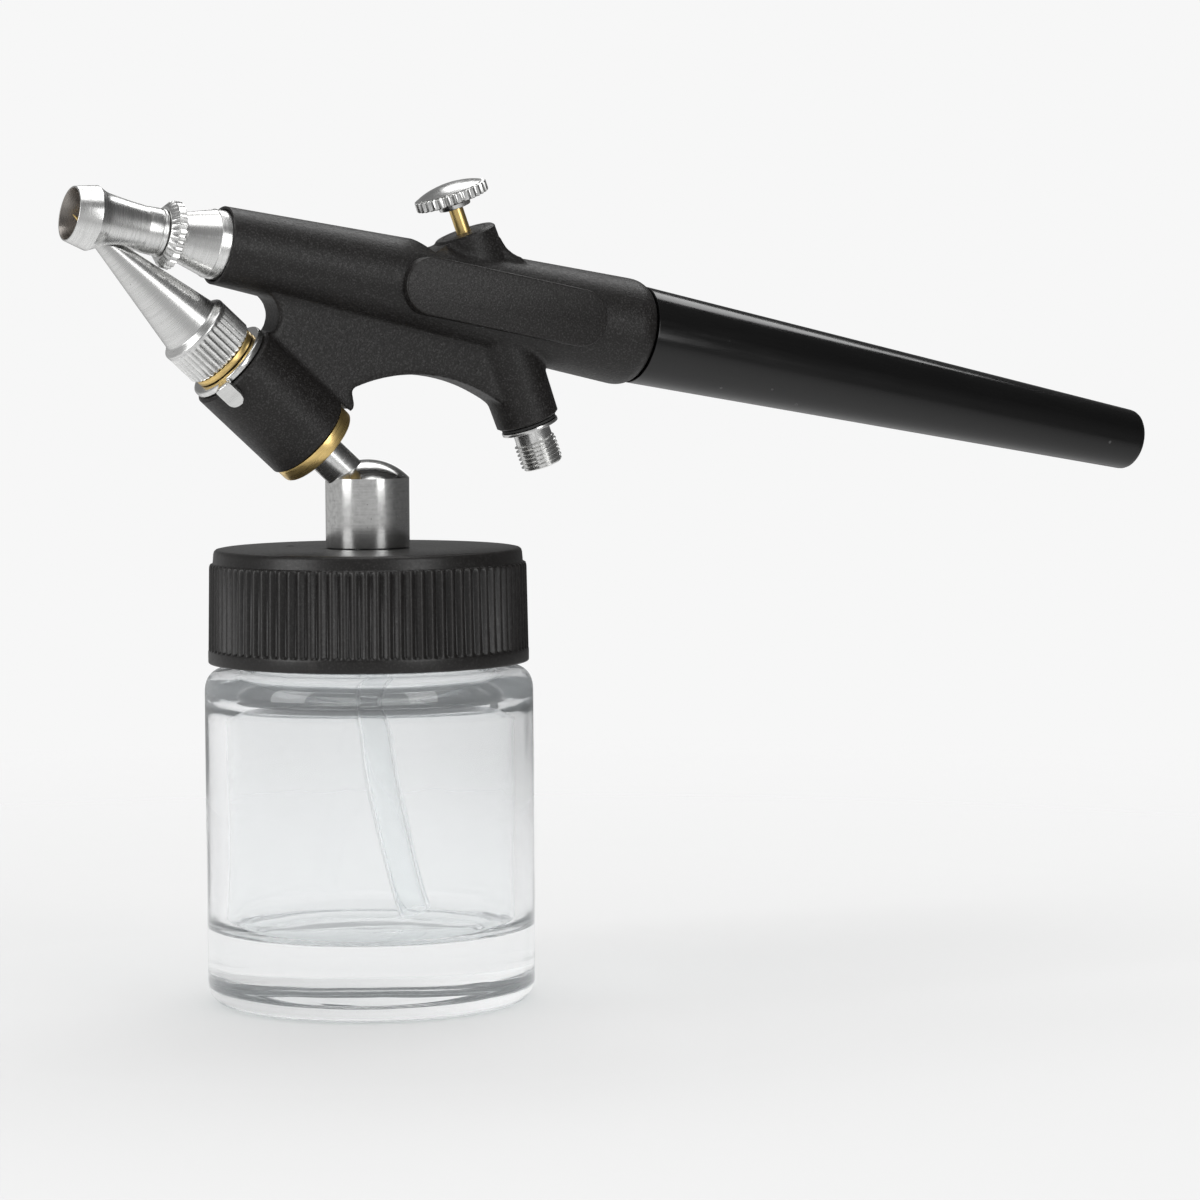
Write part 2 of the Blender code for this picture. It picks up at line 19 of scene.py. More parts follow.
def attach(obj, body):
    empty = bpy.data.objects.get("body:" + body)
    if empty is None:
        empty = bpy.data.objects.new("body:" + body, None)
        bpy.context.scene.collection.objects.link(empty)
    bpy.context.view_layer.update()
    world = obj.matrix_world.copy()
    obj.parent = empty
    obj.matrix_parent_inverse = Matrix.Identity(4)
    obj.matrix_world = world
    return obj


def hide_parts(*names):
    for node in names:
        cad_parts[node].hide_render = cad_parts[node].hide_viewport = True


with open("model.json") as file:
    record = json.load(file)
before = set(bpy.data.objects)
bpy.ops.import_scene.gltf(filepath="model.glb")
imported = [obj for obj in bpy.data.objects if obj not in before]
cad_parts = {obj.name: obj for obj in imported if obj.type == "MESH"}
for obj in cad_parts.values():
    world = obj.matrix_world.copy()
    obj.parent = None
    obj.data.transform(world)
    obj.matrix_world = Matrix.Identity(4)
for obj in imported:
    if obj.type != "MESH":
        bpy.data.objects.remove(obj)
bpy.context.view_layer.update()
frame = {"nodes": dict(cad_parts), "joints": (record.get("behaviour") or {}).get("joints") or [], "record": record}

LOG = logging.getLogger("airbrush_gun")
MM = 0.001
FULL_TURN = 2.0 * math.pi
QUARTER_TURN = math.pi / 2.0
MERGE_MM = 1e-4                 # corners nearer than this are one corner

RING_FRONT = 11.1               # station of the lock ring's joint, on the barrel axis
ARM_BACK = 37.9                 # station of the siphon's joint, on the paint axis
FITTING_END = 20.3              # station of the inlet's mount, on the trigger axis

TOOL_MARK_DEPTH = 0.00002       # metres, as are the next three
GRAIN_DEPTH = 0.00005
POLISH_RIPPLE_DEPTH = 0.0002
GLASS_RIPPLE_DEPTH = 0.0004
BORE_SHADE_EDGE = 0.00004             # how softly the painted shade in a bore starts and ends, in metres
BORE_SHADE_MOUTH = 0.0002
BAND_EDGE = 0.003

# painted shade: the dark colour that stands for the shade inside a bore
BORE_SHADE_TONE = (0.36, 0.335, 0.31)
GLASS_MILK = (0.82, 0.85, 0.87, 1.0)
GLASS_SHADOW = (0.93, 0.95, 0.95, 1.0)

Corner = tuple[float, ...]      # station and radius, then the corner's rounding if it has one
Colour = tuple[float, float, float]


class Axis(Enum):
    """The four lines that the gun's turned pieces share."""

    BARREL = "barrel"
    PAINT = "paint"
    TRIGGER = "trigger"
    UPRIGHT = "upright"


class Body(Enum):
    """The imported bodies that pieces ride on."""

    GUN = "gun"
    LOCK_NUT = "lock_nut"
    TRIGGER = "trigger"
    PAINT_TIP = "paint_tip"
    SIPHON = "siphon"
    JAR_LID = "jar_lid"
    PAINT_JAR = "paint_jar"


def frame_along(origin: Vector, direction: Vector) -> Matrix:
    """Turn local Z along a direction and keep local Y along the world's Y.

    Args:
        origin: Where local zero goes, in millimetres.
        direction: Where local Z points.

    Returns:
        The matrix from the axis's own millimetres to the gun's.
    """
    z_axis = direction.normalized()
    y_axis = Vector((0.0, 1.0, 0.0))
    turn = Matrix((y_axis.cross(z_axis), y_axis, z_axis)).transposed().to_4x4()
    return Matrix.Translation(origin) @ turn


def find_axes(loaded: dict[str, Any]) -> dict[Axis, Matrix]:
    """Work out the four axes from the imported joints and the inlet's mount.


    Returns:
        A matrix for each axis, with station zero at its start.
    """
    joints = {joint["name"]: joint for joint in loaded["joints"]}
    mounts = {mount["name"]: mount for mount in loaded["record"]["mounts"]}
    barrel = -Vector(joints["lock_ring_turn"]["axis"])
    paint = Vector(joints["siphon_swivel"]["axis"])
    trigger = Vector(joints["trigger_press"]["axis"])
    ring = Vector(joints["lock_ring_turn"]["pos_m"]) / MM
    socket = Vector(joints["siphon_swivel"]["pos_m"]) / MM
    inlet = Vector(mounts["inlet_face"]["pos_m"]) / MM
    inlet.y = 0.0
    return {
        Axis.BARREL: frame_along(ring - barrel * RING_FRONT, barrel),
        Axis.PAINT: frame_along(socket - paint * ARM_BACK, paint),
        Axis.TRIGGER: frame_along(inlet - trigger * FITTING_END, trigger),
        Axis.UPRIGHT: Matrix.Identity(4),
    }


AXES = find_axes(frame)


def rounded(corners: Sequence[Corner], closed: bool) -> list[Vector]:
    """Replace each corner that states a rounding by a short arc.

    Args:
        corners: The outline's corners, in order.
        closed: Whether the last corner joins the first.

    Returns:
        The outline's points.
    """
    points: list[Vector] = []
    count = len(corners)
    for index, corner in enumerate(corners):
        here = Vector(corner[:2])
        reach = corner[2] if len(corner) > 2 else 0.0
        at_end = not closed and index in (0, count - 1)
        if not reach or at_end:
            points.append(here)
            continue
        start = here + (Vector(corners[index - 1][:2]) - here).normalized() * reach
        end = here + (Vector(corners[(index + 1) % count][:2]) - here).normalized() * reach
        steps = max(3, min(12, round(reach * 5)))
        for step in range(steps + 1):
            share = step / steps
            points.append(start.lerp(here, share).lerp(here.lerp(end, share), share))
    return points


def arc(centre: tuple[float, float], radius: float, start: float, end: float,
        steps: int) -> list[Corner]:
    """Points on an arc, ends included."""
    turns = [math.radians(start + (end - start) * i / steps) for i in range(steps + 1)]
    return [(centre[0] + radius * math.cos(a), centre[1] + radius * math.sin(a)) for a in turns]


class Bench:
    """Modelling steps, each done as by hand.  Lengths are in millimetres."""

    @staticmethod
    def only(piece: bpy.types.Object) -> None:
        """Select one piece and nothing else."""
        bpy.ops.object.select_all(action="DESELECT")
        piece.select_set(True)
        bpy.context.view_layer.objects.active = piece

    @staticmethod
    def edit(piece: bpy.types.Object, pick: Optional[Callable[[Vector], bool]] = None) -> None:
        """Open a piece in edit mode with some of its corners selected.

        Args:
            piece: The piece to edit.
            pick: Says whether a corner at a place is selected; all are if it is left out.
        """
        Bench.only(piece)
        bpy.ops.object.mode_set(mode="EDIT")
        bpy.ops.mesh.select_all(action="DESELECT" if pick else "SELECT")
        if pick:
            cage = bmesh.from_edit_mesh(piece.data)
            for corner in cage.verts:
                if pick(corner.co):
                    corner.select_set(True)
            cage.select_flush(True)
            bmesh.update_edit_mesh(piece.data)

    @staticmethod
    def close() -> None:
        """Leave edit mode."""
        bpy.ops.object.mode_set(mode="OBJECT")

    @staticmethod
    def tidy(piece: bpy.types.Object) -> None:
        """Merge doubles and turn every face outwards."""
        Bench.edit(piece)
        bpy.ops.mesh.remove_doubles(threshold=MERGE_MM)
        bpy.ops.mesh.select_all(action="SELECT")
        bpy.ops.mesh.normals_make_consistent(inside=False)
        Bench.close()

    @staticmethod
    def line(name: str, points: Sequence[Vector], closed: bool) -> bpy.types.Object:
        """Draw edges from point to point.

        Args:
            name: The new piece's name.
            points: The line's points.
            closed: Whether it ends where it starts.

        Returns:
            The new piece.
        """
        bpy.ops.object.select_all(action="DESELECT")
        bpy.ops.mesh.primitive_plane_add(size=1.0)
        piece = bpy.context.object
        piece.name = piece.data.name = name
        bpy.ops.object.mode_set(mode="EDIT")
        bpy.ops.mesh.select_all(action="SELECT")
        bpy.ops.mesh.merge(type="CENTER")
        bpy.ops.transform.translate(value=points[0])
        route = list(points) + ([points[0]] if closed else [])
        for here, there in zip(route, route[1:]):
            bpy.ops.mesh.extrude_region_move(TRANSFORM_OT_translate={"value": there - here})
        bpy.ops.mesh.select_all(action="SELECT")
        bpy.ops.mesh.remove_doubles(threshold=MERGE_MM)
        Bench.close()
        return piece

    @staticmethod
    def turned(name: str, corners: Sequence[Corner], columns: int = 96) -> bpy.types.Object:
        """Spin half a section round local Z.

        A section that starts and ends on the axis needs no edge between its two ends.

        Args:
            name: The new piece's name.
            corners: The section's corners: station, radius and rounding.
            columns: How many faces go round.

        Returns:
            The new piece.
        """
        closed = max(corners[0][1], corners[-1][1]) > MERGE_MM
        points = [Vector((p.y, 0.0, p.x)) for p in rounded(corners, closed)]
        piece = Bench.line(name, points, closed)
        Bench.edit(piece)
        bpy.ops.mesh.spin(steps=columns, angle=FULL_TURN, center=(0, 0, 0), axis=(0, 0, 1))
        Bench.close()
        Bench.tidy(piece)
        return piece

    @staticmethod
    def plate(name: str, corners: Sequence[Corner], thickness: float) -> bpy.types.Object:
        """Fill an outline in local XY and extrude it to a plate centred on that plane.

        Args:
            name: The new piece's name.
            corners: The outline's corners, in order.
            thickness: The plate's thickness.

        Returns:
            The new piece.
        """
        points = [Vector((p.x, p.y, -thickness / 2)) for p in rounded(corners, True)]
        piece = Bench.line(name, points, True)
        Bench.edit(piece)
        bpy.ops.mesh.edge_face_add()
        bpy.ops.mesh.extrude_region_move(TRANSFORM_OT_translate={"value": (0, 0, thickness)})
        Bench.close()
        Bench.tidy(piece)
        return piece

    @staticmethod
    def groove(piece: bpy.types.Object, ridges: int, shares: Sequence[float], depth: float,
               low: float, high: float, inner: float) -> None:
        """Draw in columns of a turned piece, so that straight ridges are left standing.

        Args:
            piece: A piece with a whole number of columns to each ridge.
            ridges: How many ridges go round.
            shares: Each column's share of the depth, from one crest to the next.
            depth: The grooves' depth.
            low: The station where the grooves start.
            high: The station where they end.
            inner: Corners nearer to the axis than this stay.
        """
        wide = len(shares)
        outer = max(Vector(v.co[:2]).length for v in piece.data.vertices if low < v.co.z < high)
        for column, share in enumerate(shares):
            if not share:
                continue

            def in_groove(place: Vector, column: int = column) -> bool:
                """Whether a corner is in this column and band."""
                count = round(math.atan2(place.y, place.x) / FULL_TURN * ridges * wide)
                on_band = low < place.z < high and Vector(place[:2]).length > inner
                return on_band and count % wide == column

            Bench.edit(piece, in_groove)
            factor = 1.0 - depth * share / outer
            bpy.ops.transform.resize(value=(factor, factor, 1.0), center_override=(0, 0, 0))
            Bench.close()

    @staticmethod
    def thread(name: str, tooth: Sequence[Corner], pitch: float, turns: int,
               columns: int = 48) -> bpy.types.Object:
        """Sweep a tooth's section along a helix and close its two ends.

        Args:
            name: The new piece's name.
            tooth: The tooth's section.
            pitch: How far one turn climbs.
            turns: How many turns there are.
            columns: How many steps one turn has.

        Returns:
            The new piece.
        """
        points = [Vector((p.y, 0.0, p.x)) for p in rounded(tooth, True)]
        piece = Bench.line(name, points, True)
        Bench.only(piece)
        sweep = piece.modifiers.new("sweep", "SCREW")
        sweep.screw_offset = pitch
        sweep.iterations = turns
        sweep.steps = sweep.render_steps = columns
        bpy.ops.object.modifier_apply(modifier=sweep.name)
        Bench.edit(piece)
        bpy.ops.mesh.fill_holes(sides=0)
        Bench.close()
        Bench.tidy(piece)
        return piece

    @staticmethod
    def bring(piece: bpy.types.Object, turn: Matrix) -> bpy.types.Object:
        """Turn and move a piece, and keep the result in its mesh.

        Args:
            piece: The piece to move.
            turn: Where it goes.

        Returns:
            The same piece.
        """
        Bench.only(piece)
        piece.matrix_world = turn
        bpy.ops.object.transform_apply(location=True, rotation=True, scale=True)
        return piece

    @staticmethod
    def apply(piece: bpy.types.Object, kind: str, **settings: Any) -> None:
        """Add a modifier with its settings and apply it.

        Args:
            piece: The piece to change.
            kind: The modifier's type.
            settings: The modifier's values.
        """
        Bench.only(piece)
        modifier = piece.modifiers.new(kind.lower(), kind)
        for key, value in settings.items():
            setattr(modifier, key, value)
        bpy.ops.object.modifier_apply(modifier=modifier.name)

    @staticmethod
    def combine(piece: bpy.types.Object, other: bpy.types.Object,
                operation: str = "UNION") -> None:
        """Join another closed piece to this one, or cut it away, and use it up."""
        Bench.apply(piece, "BOOLEAN", operation=operation, object=other, solver="MANIFOLD")
        bpy.data.objects.remove(other, do_unlink=True)

    @staticmethod
    def soften(piece: bpy.types.Object, voxel: float, rounds: int) -> None:
        """Melt overlapping shapes into one skin with soft inside and outside corners."""
        Bench.apply(piece, "REMESH", mode="VOXEL", voxel_size=voxel)
        Bench.apply(piece, "SMOOTH", factor=0.5, iterations=rounds)


class Nodes:
    """A node tree with short ways to add to it."""

    def __init__(self, tree: bpy.types.NodeTree) -> None:
        """Keep the tree to build in."""
        self.tree = tree

    def add(self, kind: str, inputs: Optional[dict[Any, Any]] = None,
            **settings: Any) -> bpy.types.Node:
        """Add a node, set its values and link its inputs.

        Args:
            kind: The node's type.
            inputs: A value or an output socket for each input.
            settings: The node's own values.

        Returns:
            The new node.
        """
        node = self.tree.nodes.new(kind)
        for key, value in settings.items():
            setattr(node, key, value)
        for key, value in (inputs or {}).items():
            if isinstance(value, bpy.types.NodeSocket):
                self.tree.links.new(value, node.inputs[key])
            else:
                node.inputs[key].default_value = value
        return node

    def noise(self, vector: Any, scale: Any, detail: float = 2.0,
              roughness: float = 0.5) -> bpy.types.NodeSocket:
        """Noise from 0 to 1, about 0.5."""
        node = self.add("ShaderNodeTexNoise", {"Vector": vector, "Scale": scale,
                                               "Detail": detail, "Roughness": roughness})
        return node.outputs["Fac"]

    def spread(self, value: Any, low: float, high: float, to_low: float = 0.0,
               to_high: float = 1.0) -> bpy.types.NodeSocket:
        """Map one range onto another, and stop at its ends."""
        node = self.add("ShaderNodeMapRange", {"Value": value, "From Min": low, "From Max": high,
                                               "To Min": to_low, "To Max": to_high})
        return node.outputs["Result"]

    def mix(self, share: Any, first: Any, second: Any) -> bpy.types.NodeSocket:
        """Mix two colours.

        Args:
            share: How much of the second there is.
            first: A colour or an output.
            second: A colour or an output.

        Returns:
            The mixed colour.
        """
        node = self.add("ShaderNodeMix", data_type="RGBA")
        for index, value in ((0, share), (6, first), (7, second)):
            if isinstance(value, bpy.types.NodeSocket):
                self.tree.links.new(value, node.inputs[index])
            else:
                node.inputs[index].default_value = (*value, 1.0) if index else value
        return node.outputs[2]

    def stretched(self, vector: Any, scale: tuple[float, float, float]) -> bpy.types.NodeSocket:
        """Coordinates multiplied along each of their axes."""
        return self.add("ShaderNodeVectorMath", {0: vector, 1: scale},
                        operation="MULTIPLY").outputs[0]

    def height(self, vector: Any) -> bpy.types.NodeSocket:
        """The third of three coordinates."""
        return self.add("ShaderNodeSeparateXYZ", {0: vector}).outputs["Z"]

    def feed(self, shader: bpy.types.Node, sockets: dict[str, bpy.types.NodeSocket]) -> None:
        """Link outputs to a shader's inputs."""
        for key, value in sockets.items():
            self.tree.links.new(value, shader.inputs[key])

    def math(self, operation: str, first: Any, second: Any = 0.0) -> bpy.types.NodeSocket:
        """One sum on two values."""
        return self.add("ShaderNodeMath", {0: first, 1: second}, operation=operation).outputs[0]


class Effect:
    """Shared surface effects, each a node group that is built once."""

    @staticmethod
    def start(name: str, inputs: Sequence[str],
              outputs: Sequence[str]) -> tuple[Nodes, bpy.types.Node]:
        """Begin a group with a Vector input, some number inputs and number outputs.

        Args:
            name: The group's name.
            inputs: The number inputs' names.
            outputs: The number outputs' names.

        Returns:
            The group's tree and its input node.
        """
        tree = bpy.data.node_groups.new(name, "ShaderNodeTree")
        tree.interface.new_socket("Vector", in_out="INPUT", socket_type="NodeSocketVector")
        for key in inputs:
            tree.interface.new_socket(key, in_out="INPUT", socket_type="NodeSocketFloat")
        for key in outputs:
            tree.interface.new_socket(key, in_out="OUTPUT", socket_type="NodeSocketFloat")
        nodes = Nodes(tree)
        return nodes, nodes.add("NodeGroupInput")

    @staticmethod
    @cache
    def turned_lines() -> bpy.types.NodeTree:
        """Fine rings left by a lathe tool, round the coordinates' Z.

        Returns:
            A group that puts out the rings' height and their tone.
        """
        nodes, given = Effect.start("turned_lines", ["Fineness"], ["Height", "Tone"])
        stretch = nodes.stretched(given.outputs["Vector"], (0.012, 0.012, 1.0))
        rings = nodes.noise(stretch, given.outputs["Fineness"], 3.0, 0.7)
        coarse = nodes.math("MULTIPLY", given.outputs["Fineness"], 0.12)
        bands = nodes.noise(stretch, coarse, 1.0)
        tone = nodes.math("ADD", nodes.math("MULTIPLY", rings, 0.6),
                          nodes.math("MULTIPLY", bands, 0.4))
        nodes.add("NodeGroupOutput", {"Height": rings,
                                      "Tone": nodes.spread(tone, 0.35, 0.65)})
        return nodes.tree

    @staticmethod
    @cache
    def grain() -> bpy.types.NodeTree:
        """The fine spark-eroded grain of moulded plastic.

        Returns:
            A group that puts out the grain's height and the points where glints are painted.
        """
        nodes, given = Effect.start("grain", ["Fineness"], ["Height", "Sparkle"])
        fine = nodes.noise(given.outputs["Vector"], given.outputs["Fineness"], 2.0, 0.6)
        finer = nodes.math("MULTIPLY", given.outputs["Fineness"], 1.7)
        points = nodes.noise(given.outputs["Vector"], finer, 1.0)
        nodes.add("NodeGroupOutput", {"Height": fine,
                                      "Sparkle": nodes.spread(points, 0.50, 0.78)})
        return nodes.tree

    @staticmethod
    @cache
    def edge_wear() -> bpy.types.NodeTree:
        """Rubbed outside edges, broken up by noise.

        Returns:
            A group that puts out the worn places.
        """
        nodes, given = Effect.start("edge_wear", ["Fineness"], ["Wear"])
        sharp = nodes.add("ShaderNodeNewGeometry").outputs["Pointiness"]
        edge = nodes.spread(sharp, 0.515, 0.56)
        patches = nodes.noise(given.outputs["Vector"], given.outputs["Fineness"], 3.0, 0.6)
        worn = nodes.math("MULTIPLY", edge, nodes.spread(patches, 0.35, 0.6))
        nodes.add("NodeGroupOutput", {"Wear": worn})
        return nodes.tree

    @staticmethod
    @cache
    def specks() -> bpy.types.NodeTree:
        """Small pits and dust, thinly scattered.

        Returns:
            A group that puts out the specks.
        """
        nodes, given = Effect.start("specks", ["Fineness", "Amount"], ["Mask"])
        cells = nodes.add("ShaderNodeTexVoronoi", {"Vector": given.outputs["Vector"],
                                                   "Scale": given.outputs["Fineness"]})
        kept = nodes.math("LESS_THAN", nodes.add(
            "ShaderNodeSeparateColor", {0: cells.outputs["Color"]}).outputs[0],
            given.outputs["Amount"])
        near = nodes.spread(cells.outputs["Distance"], 0.10, 0.22, 1.0, 0.0)
        nodes.add("NodeGroupOutput", {"Mask": nodes.math("MULTIPLY", kept, near)})
        return nodes.tree


@dataclass(frozen=True)
class Finish:
    """A plain finish that others build on.

    Attributes:
        name: The finish's name.
        slot: The record's material slot; not used.
        colour: Its base colour.
        roughness: Its mean roughness.
    """

    name: str
    slot: str
    colour: Colour
    roughness: float

    def material(self, axis: Axis = Axis.UPRIGHT) -> bpy.types.Material:
        """Make the material for pieces on one axis, or find it if it is made.

        Args:
            axis: The axis that a pattern runs round.

        Returns:
            The material.
        """
        name = f"{self.name}_{axis.value}"
        made = bpy.data.materials.get(name)
        if made is None:
            made = bpy.data.materials.new(name)
            made.use_nodes = True
            nodes = Nodes(made.node_tree)
            shader = made.node_tree.nodes["Principled BSDF"]
            shader.inputs["Roughness"].default_value = self.roughness
            self.paint(nodes, shader, self.coordinates(nodes, axis))
        return made

    def coordinates(self, nodes: Nodes, axis: Axis) -> bpy.types.NodeSocket:
        """Object coordinates, turned so that Z runs along an axis.

        Args:
            nodes: The material's tree.
            axis: The axis.

        Returns:
            The coordinates, in metres.
        """
        place = AXES[axis].copy()
        place.translation *= MM
        own = nodes.add("ShaderNodeTexCoord").outputs["Object"]
        return nodes.add("ShaderNodeMapping", {"Vector": own, "Location": place.translation,
                                               "Rotation": place.to_euler()},
                         vector_type="TEXTURE").outputs["Vector"]

    @staticmethod
    def group(nodes: Nodes, tree: bpy.types.NodeTree, vector: Any,
              **values: float) -> bpy.types.Node:
        """Place a shared effect in a material."""
        return nodes.add("ShaderNodeGroup", {"Vector": vector, **values}, node_tree=tree)

    @staticmethod
    def surface(nodes: Nodes, shader: bpy.types.Node, colour: Any, rough: Any, height: Any,
                strength: float, depth: float) -> None:
        """Link a shader's colour, roughness and relief.

        Args:
            nodes: The material's tree.
            shader: The material's shader.
            colour: The colour's output.
            rough: The roughness's output.
            height: The relief's output.
            strength: How strong the relief is.
            depth: How deep it is, in metres.
        """
        relief = nodes.add("ShaderNodeBump", {"Height": height, "Strength": strength,
                                              "Distance": depth})
        nodes.feed(shader, {"Base Color": colour, "Roughness": rough,
                            "Normal": relief.outputs["Normal"]})

    def shade(self, factor: float) -> Colour:
        """The finish's colour, darker or brighter."""
        return tuple(min(1.0, part * factor) for part in self.colour)

    def paint(self, nodes: Nodes, shader: bpy.types.Node, vector: Any) -> None:
        """Give the shader its colour and relief.

        Args:
            nodes: The material's tree.
            shader: The material's shader.
            vector: The coordinates.
        """
        tone = nodes.noise(vector, 900.0, 3.0)
        colour = nodes.mix(tone, self.shade(0.75), self.colour)
        rough = nodes.spread(tone, 0.3, 0.7, self.roughness * 0.85, self.roughness * 1.15)
        self.surface(nodes, shader, colour, rough, tone, 0.15, GRAIN_DEPTH)


@dataclass(frozen=True)
class TurnedMetal(Finish):
    """Metal with the fine rings of a lathe, a few pits, bright rubbed edges and, if asked, painted shade inside
    its bore.

    Attributes:
        rings: How fine the rings are, per metre.
        relief: How strong they are.
        pits: The share of cells that hold a pit.
        bore_r: Nearer to the axis than this, in millimetres, the metal is painted dark, as shade inside the bore.
        bore_end: The station, in millimetres, where that painted shade ends.
    """

    rings: float = 11000.0
    relief: float = 0.15
    pits: float = 0.03
    bore_r: float = 0.0
    bore_end: float = 0.0

    def paint(self, nodes: Nodes, shader: bpy.types.Node, vector: Any) -> None:
        """Lay rings, pits and worn edges over the metal, and paint shade inside a bore."""
        shader.inputs["Metallic"].default_value = 1.0
        lines = self.group(nodes, Effect.turned_lines(), vector, Fineness=self.rings)
        pits = self.group(nodes, Effect.specks(), vector, Fineness=2400.0, Amount=self.pits)
        wear = self.group(nodes, Effect.edge_wear(), vector, Fineness=1500.0)
        colour = nodes.mix(lines.outputs["Tone"], self.shade(0.80), self.colour)
        colour = nodes.mix(wear.outputs["Wear"], colour, self.shade(1.12))
        colour = nodes.mix(pits.outputs["Mask"], colour, self.shade(0.45))
        # painted shade: darken the metal inside the bore at stations before bore_end
        if self.bore_r:
            radius, end = self.bore_r * MM, self.bore_end * MM
            level = nodes.stretched(vector, (1.0, 1.0, 0.0))
            reach = nodes.add("ShaderNodeVectorMath", {0: level}, operation="LENGTH")
            near = nodes.spread(reach.outputs["Value"], radius, radius - BORE_SHADE_EDGE)
            mouth = nodes.spread(nodes.height(vector), end, end + BORE_SHADE_MOUTH, 1.0, 0.0)
            colour = nodes.mix(nodes.math("MULTIPLY", near, mouth), colour, BORE_SHADE_TONE)
        rough = nodes.spread(lines.outputs["Tone"], 0.0, 1.0, self.roughness * 1.25,
                             self.roughness * 0.8)
        rough = nodes.math("ADD", rough, nodes.math("MULTIPLY", pits.outputs["Mask"], 0.2))
        self.surface(nodes, shader, colour, rough, lines.outputs["Height"], self.relief,
                     TOOL_MARK_DEPTH)


@dataclass(frozen=True)
class MouldedPlastic(Finish):
    """Plastic with a fine grain, painted glints as paler points, and rubbed edges.

    Attributes:
        fineness: How fine the grain is, per metre.
        relief: How strong it is.
        sparkle: How much paler the painted glints are.
        shine: How strongly it mirrors; 0.5 is the usual strength.
    """

    fineness: float = 3400.0
    relief: float = 0.55
    sparkle: float = 0.030
    shine: float = 0.38

    def paint(self, nodes: Nodes, shader: bpy.types.Node, vector: Any) -> None:
        """Lay grain, painted glints and worn edges over the plastic."""
        shader.inputs["Specular IOR Level"].default_value = self.shine
        grain = self.group(nodes, Effect.grain(), vector, Fineness=self.fineness)
        wear = self.group(nodes, Effect.edge_wear(), vector, Fineness=800.0)
        clouds = nodes.noise(vector, 160.0, 3.0)
        pale = tuple(part + self.sparkle for part in self.colour)
        colour = nodes.mix(clouds, self.shade(0.8), self.colour)
        colour = nodes.mix(wear.outputs["Wear"], colour, self.shade(1.8))
        # painted glints: paler colour at the grain's sparkling points, standing for light caught by the grain
        colour = nodes.mix(grain.outputs["Sparkle"], colour, pale)
        rough = nodes.spread(grain.outputs["Height"], 0.3, 0.7, self.roughness * 0.85,
                             self.roughness * 1.15)
        self.surface(nodes, shader, colour, rough, grain.outputs["Height"], self.relief,
                     GRAIN_DEPTH)


@dataclass(frozen=True)
class PolishedPlastic(Finish):
    """Glossy plastic with a faint ripple, fine streaks and a little dust."""

    def paint(self, nodes: Nodes, shader: bpy.types.Node, vector: Any) -> None:
        """Lay ripple, streaks and dust over the plastic."""
        dust = self.group(nodes, Effect.specks(), vector, Fineness=900.0, Amount=0.05)
        streaks = nodes.noise(nodes.stretched(vector, (1.0, 1.0, 0.08)), 1400.0, 3.0, 0.6)
        ripple = nodes.noise(vector, 160.0, 1.0)
        pale = tuple(part + 0.05 for part in self.colour)
        colour = nodes.mix(dust.outputs["Mask"], self.colour, pale)
        rough = nodes.spread(streaks, 0.35, 0.75, self.roughness * 0.75, self.roughness * 1.5)
        rough = nodes.math("ADD", rough, nodes.math("MULTIPLY", dust.outputs["Mask"], 0.3))
        self.surface(nodes, shader, colour, rough, ripple, 0.12, POLISH_RIPPLE_DEPTH)


@dataclass(frozen=True)
class PressedGlass(Finish):
    """Clear glass or clear plastic, a little uneven, that lets lamps through.

    Attributes:
        index: How strongly it bends light.
        uneven: How strong its ripple is.
        haze: The share of light that it scatters.
        shoulder_haze: The share that it scatters between shoulder_low and shoulder_high.
        shoulder_low: Where that stretch starts, in millimetres up.
        shoulder_high: Where it ends.
    """

    index: float = 1.5
    uneven: float = 0.3
    haze: float = 0.10
    shoulder_haze: float = 0.0
    shoulder_low: float = 34.0
    shoulder_high: float = 41.0

    def paint(self, nodes: Nodes, shader: bpy.types.Node, vector: Any) -> None:
        """Make it clear, ripple it and let shadow rays pass."""
        shader.inputs["Transmission Weight"].default_value = 1.0
        shader.inputs["IOR"].default_value = self.index
        ripple = nodes.noise(nodes.stretched(vector, (1.0, 1.0, 0.3)), 130.0, 1.0)
        smears = nodes.noise(vector, 260.0, 3.0)
        colour = nodes.mix(smears, self.shade(0.985), self.colour)
        rough = nodes.spread(smears, 0.4, 0.8, self.roughness, self.roughness + 0.03)
        self.surface(nodes, shader, colour, rough, ripple, self.uneven, GLASS_RIPPLE_DEPTH)
        height = nodes.height(vector)
        low, high = self.shoulder_low * MM, self.shoulder_high * MM
        band = nodes.math("MULTIPLY", nodes.spread(height, low, low + BAND_EDGE),
                          nodes.spread(height, high, high + BAND_EDGE, 1.0, 0.0))
        share = nodes.math("ADD", self.haze,
                           nodes.math("MULTIPLY", band, self.shoulder_haze - self.haze))
        pale = nodes.add("ShaderNodeBsdfTranslucent", {"Color": GLASS_MILK})
        flat = nodes.add("ShaderNodeBsdfDiffuse", {"Color": GLASS_MILK})
        milk = nodes.add("ShaderNodeMixShader", {0: 0.5, 1: pale.outputs[0],
                                                 2: flat.outputs[0]})
        clear = nodes.add("ShaderNodeMixShader", {0: share, 1: shader.outputs[0],
                                                  2: milk.outputs[0]})
        passing = nodes.add("ShaderNodeBsdfTransparent", {"Color": GLASS_SHADOW})
        shadow = nodes.add("ShaderNodeLightPath").outputs["Is Shadow Ray"]
        both = nodes.add("ShaderNodeMixShader", {0: shadow, 1: clear.outputs[0],
                                                 2: passing.outputs[0]})
        nodes.feed(nodes.tree.nodes["Material Output"], {"Surface": both.outputs[0]})


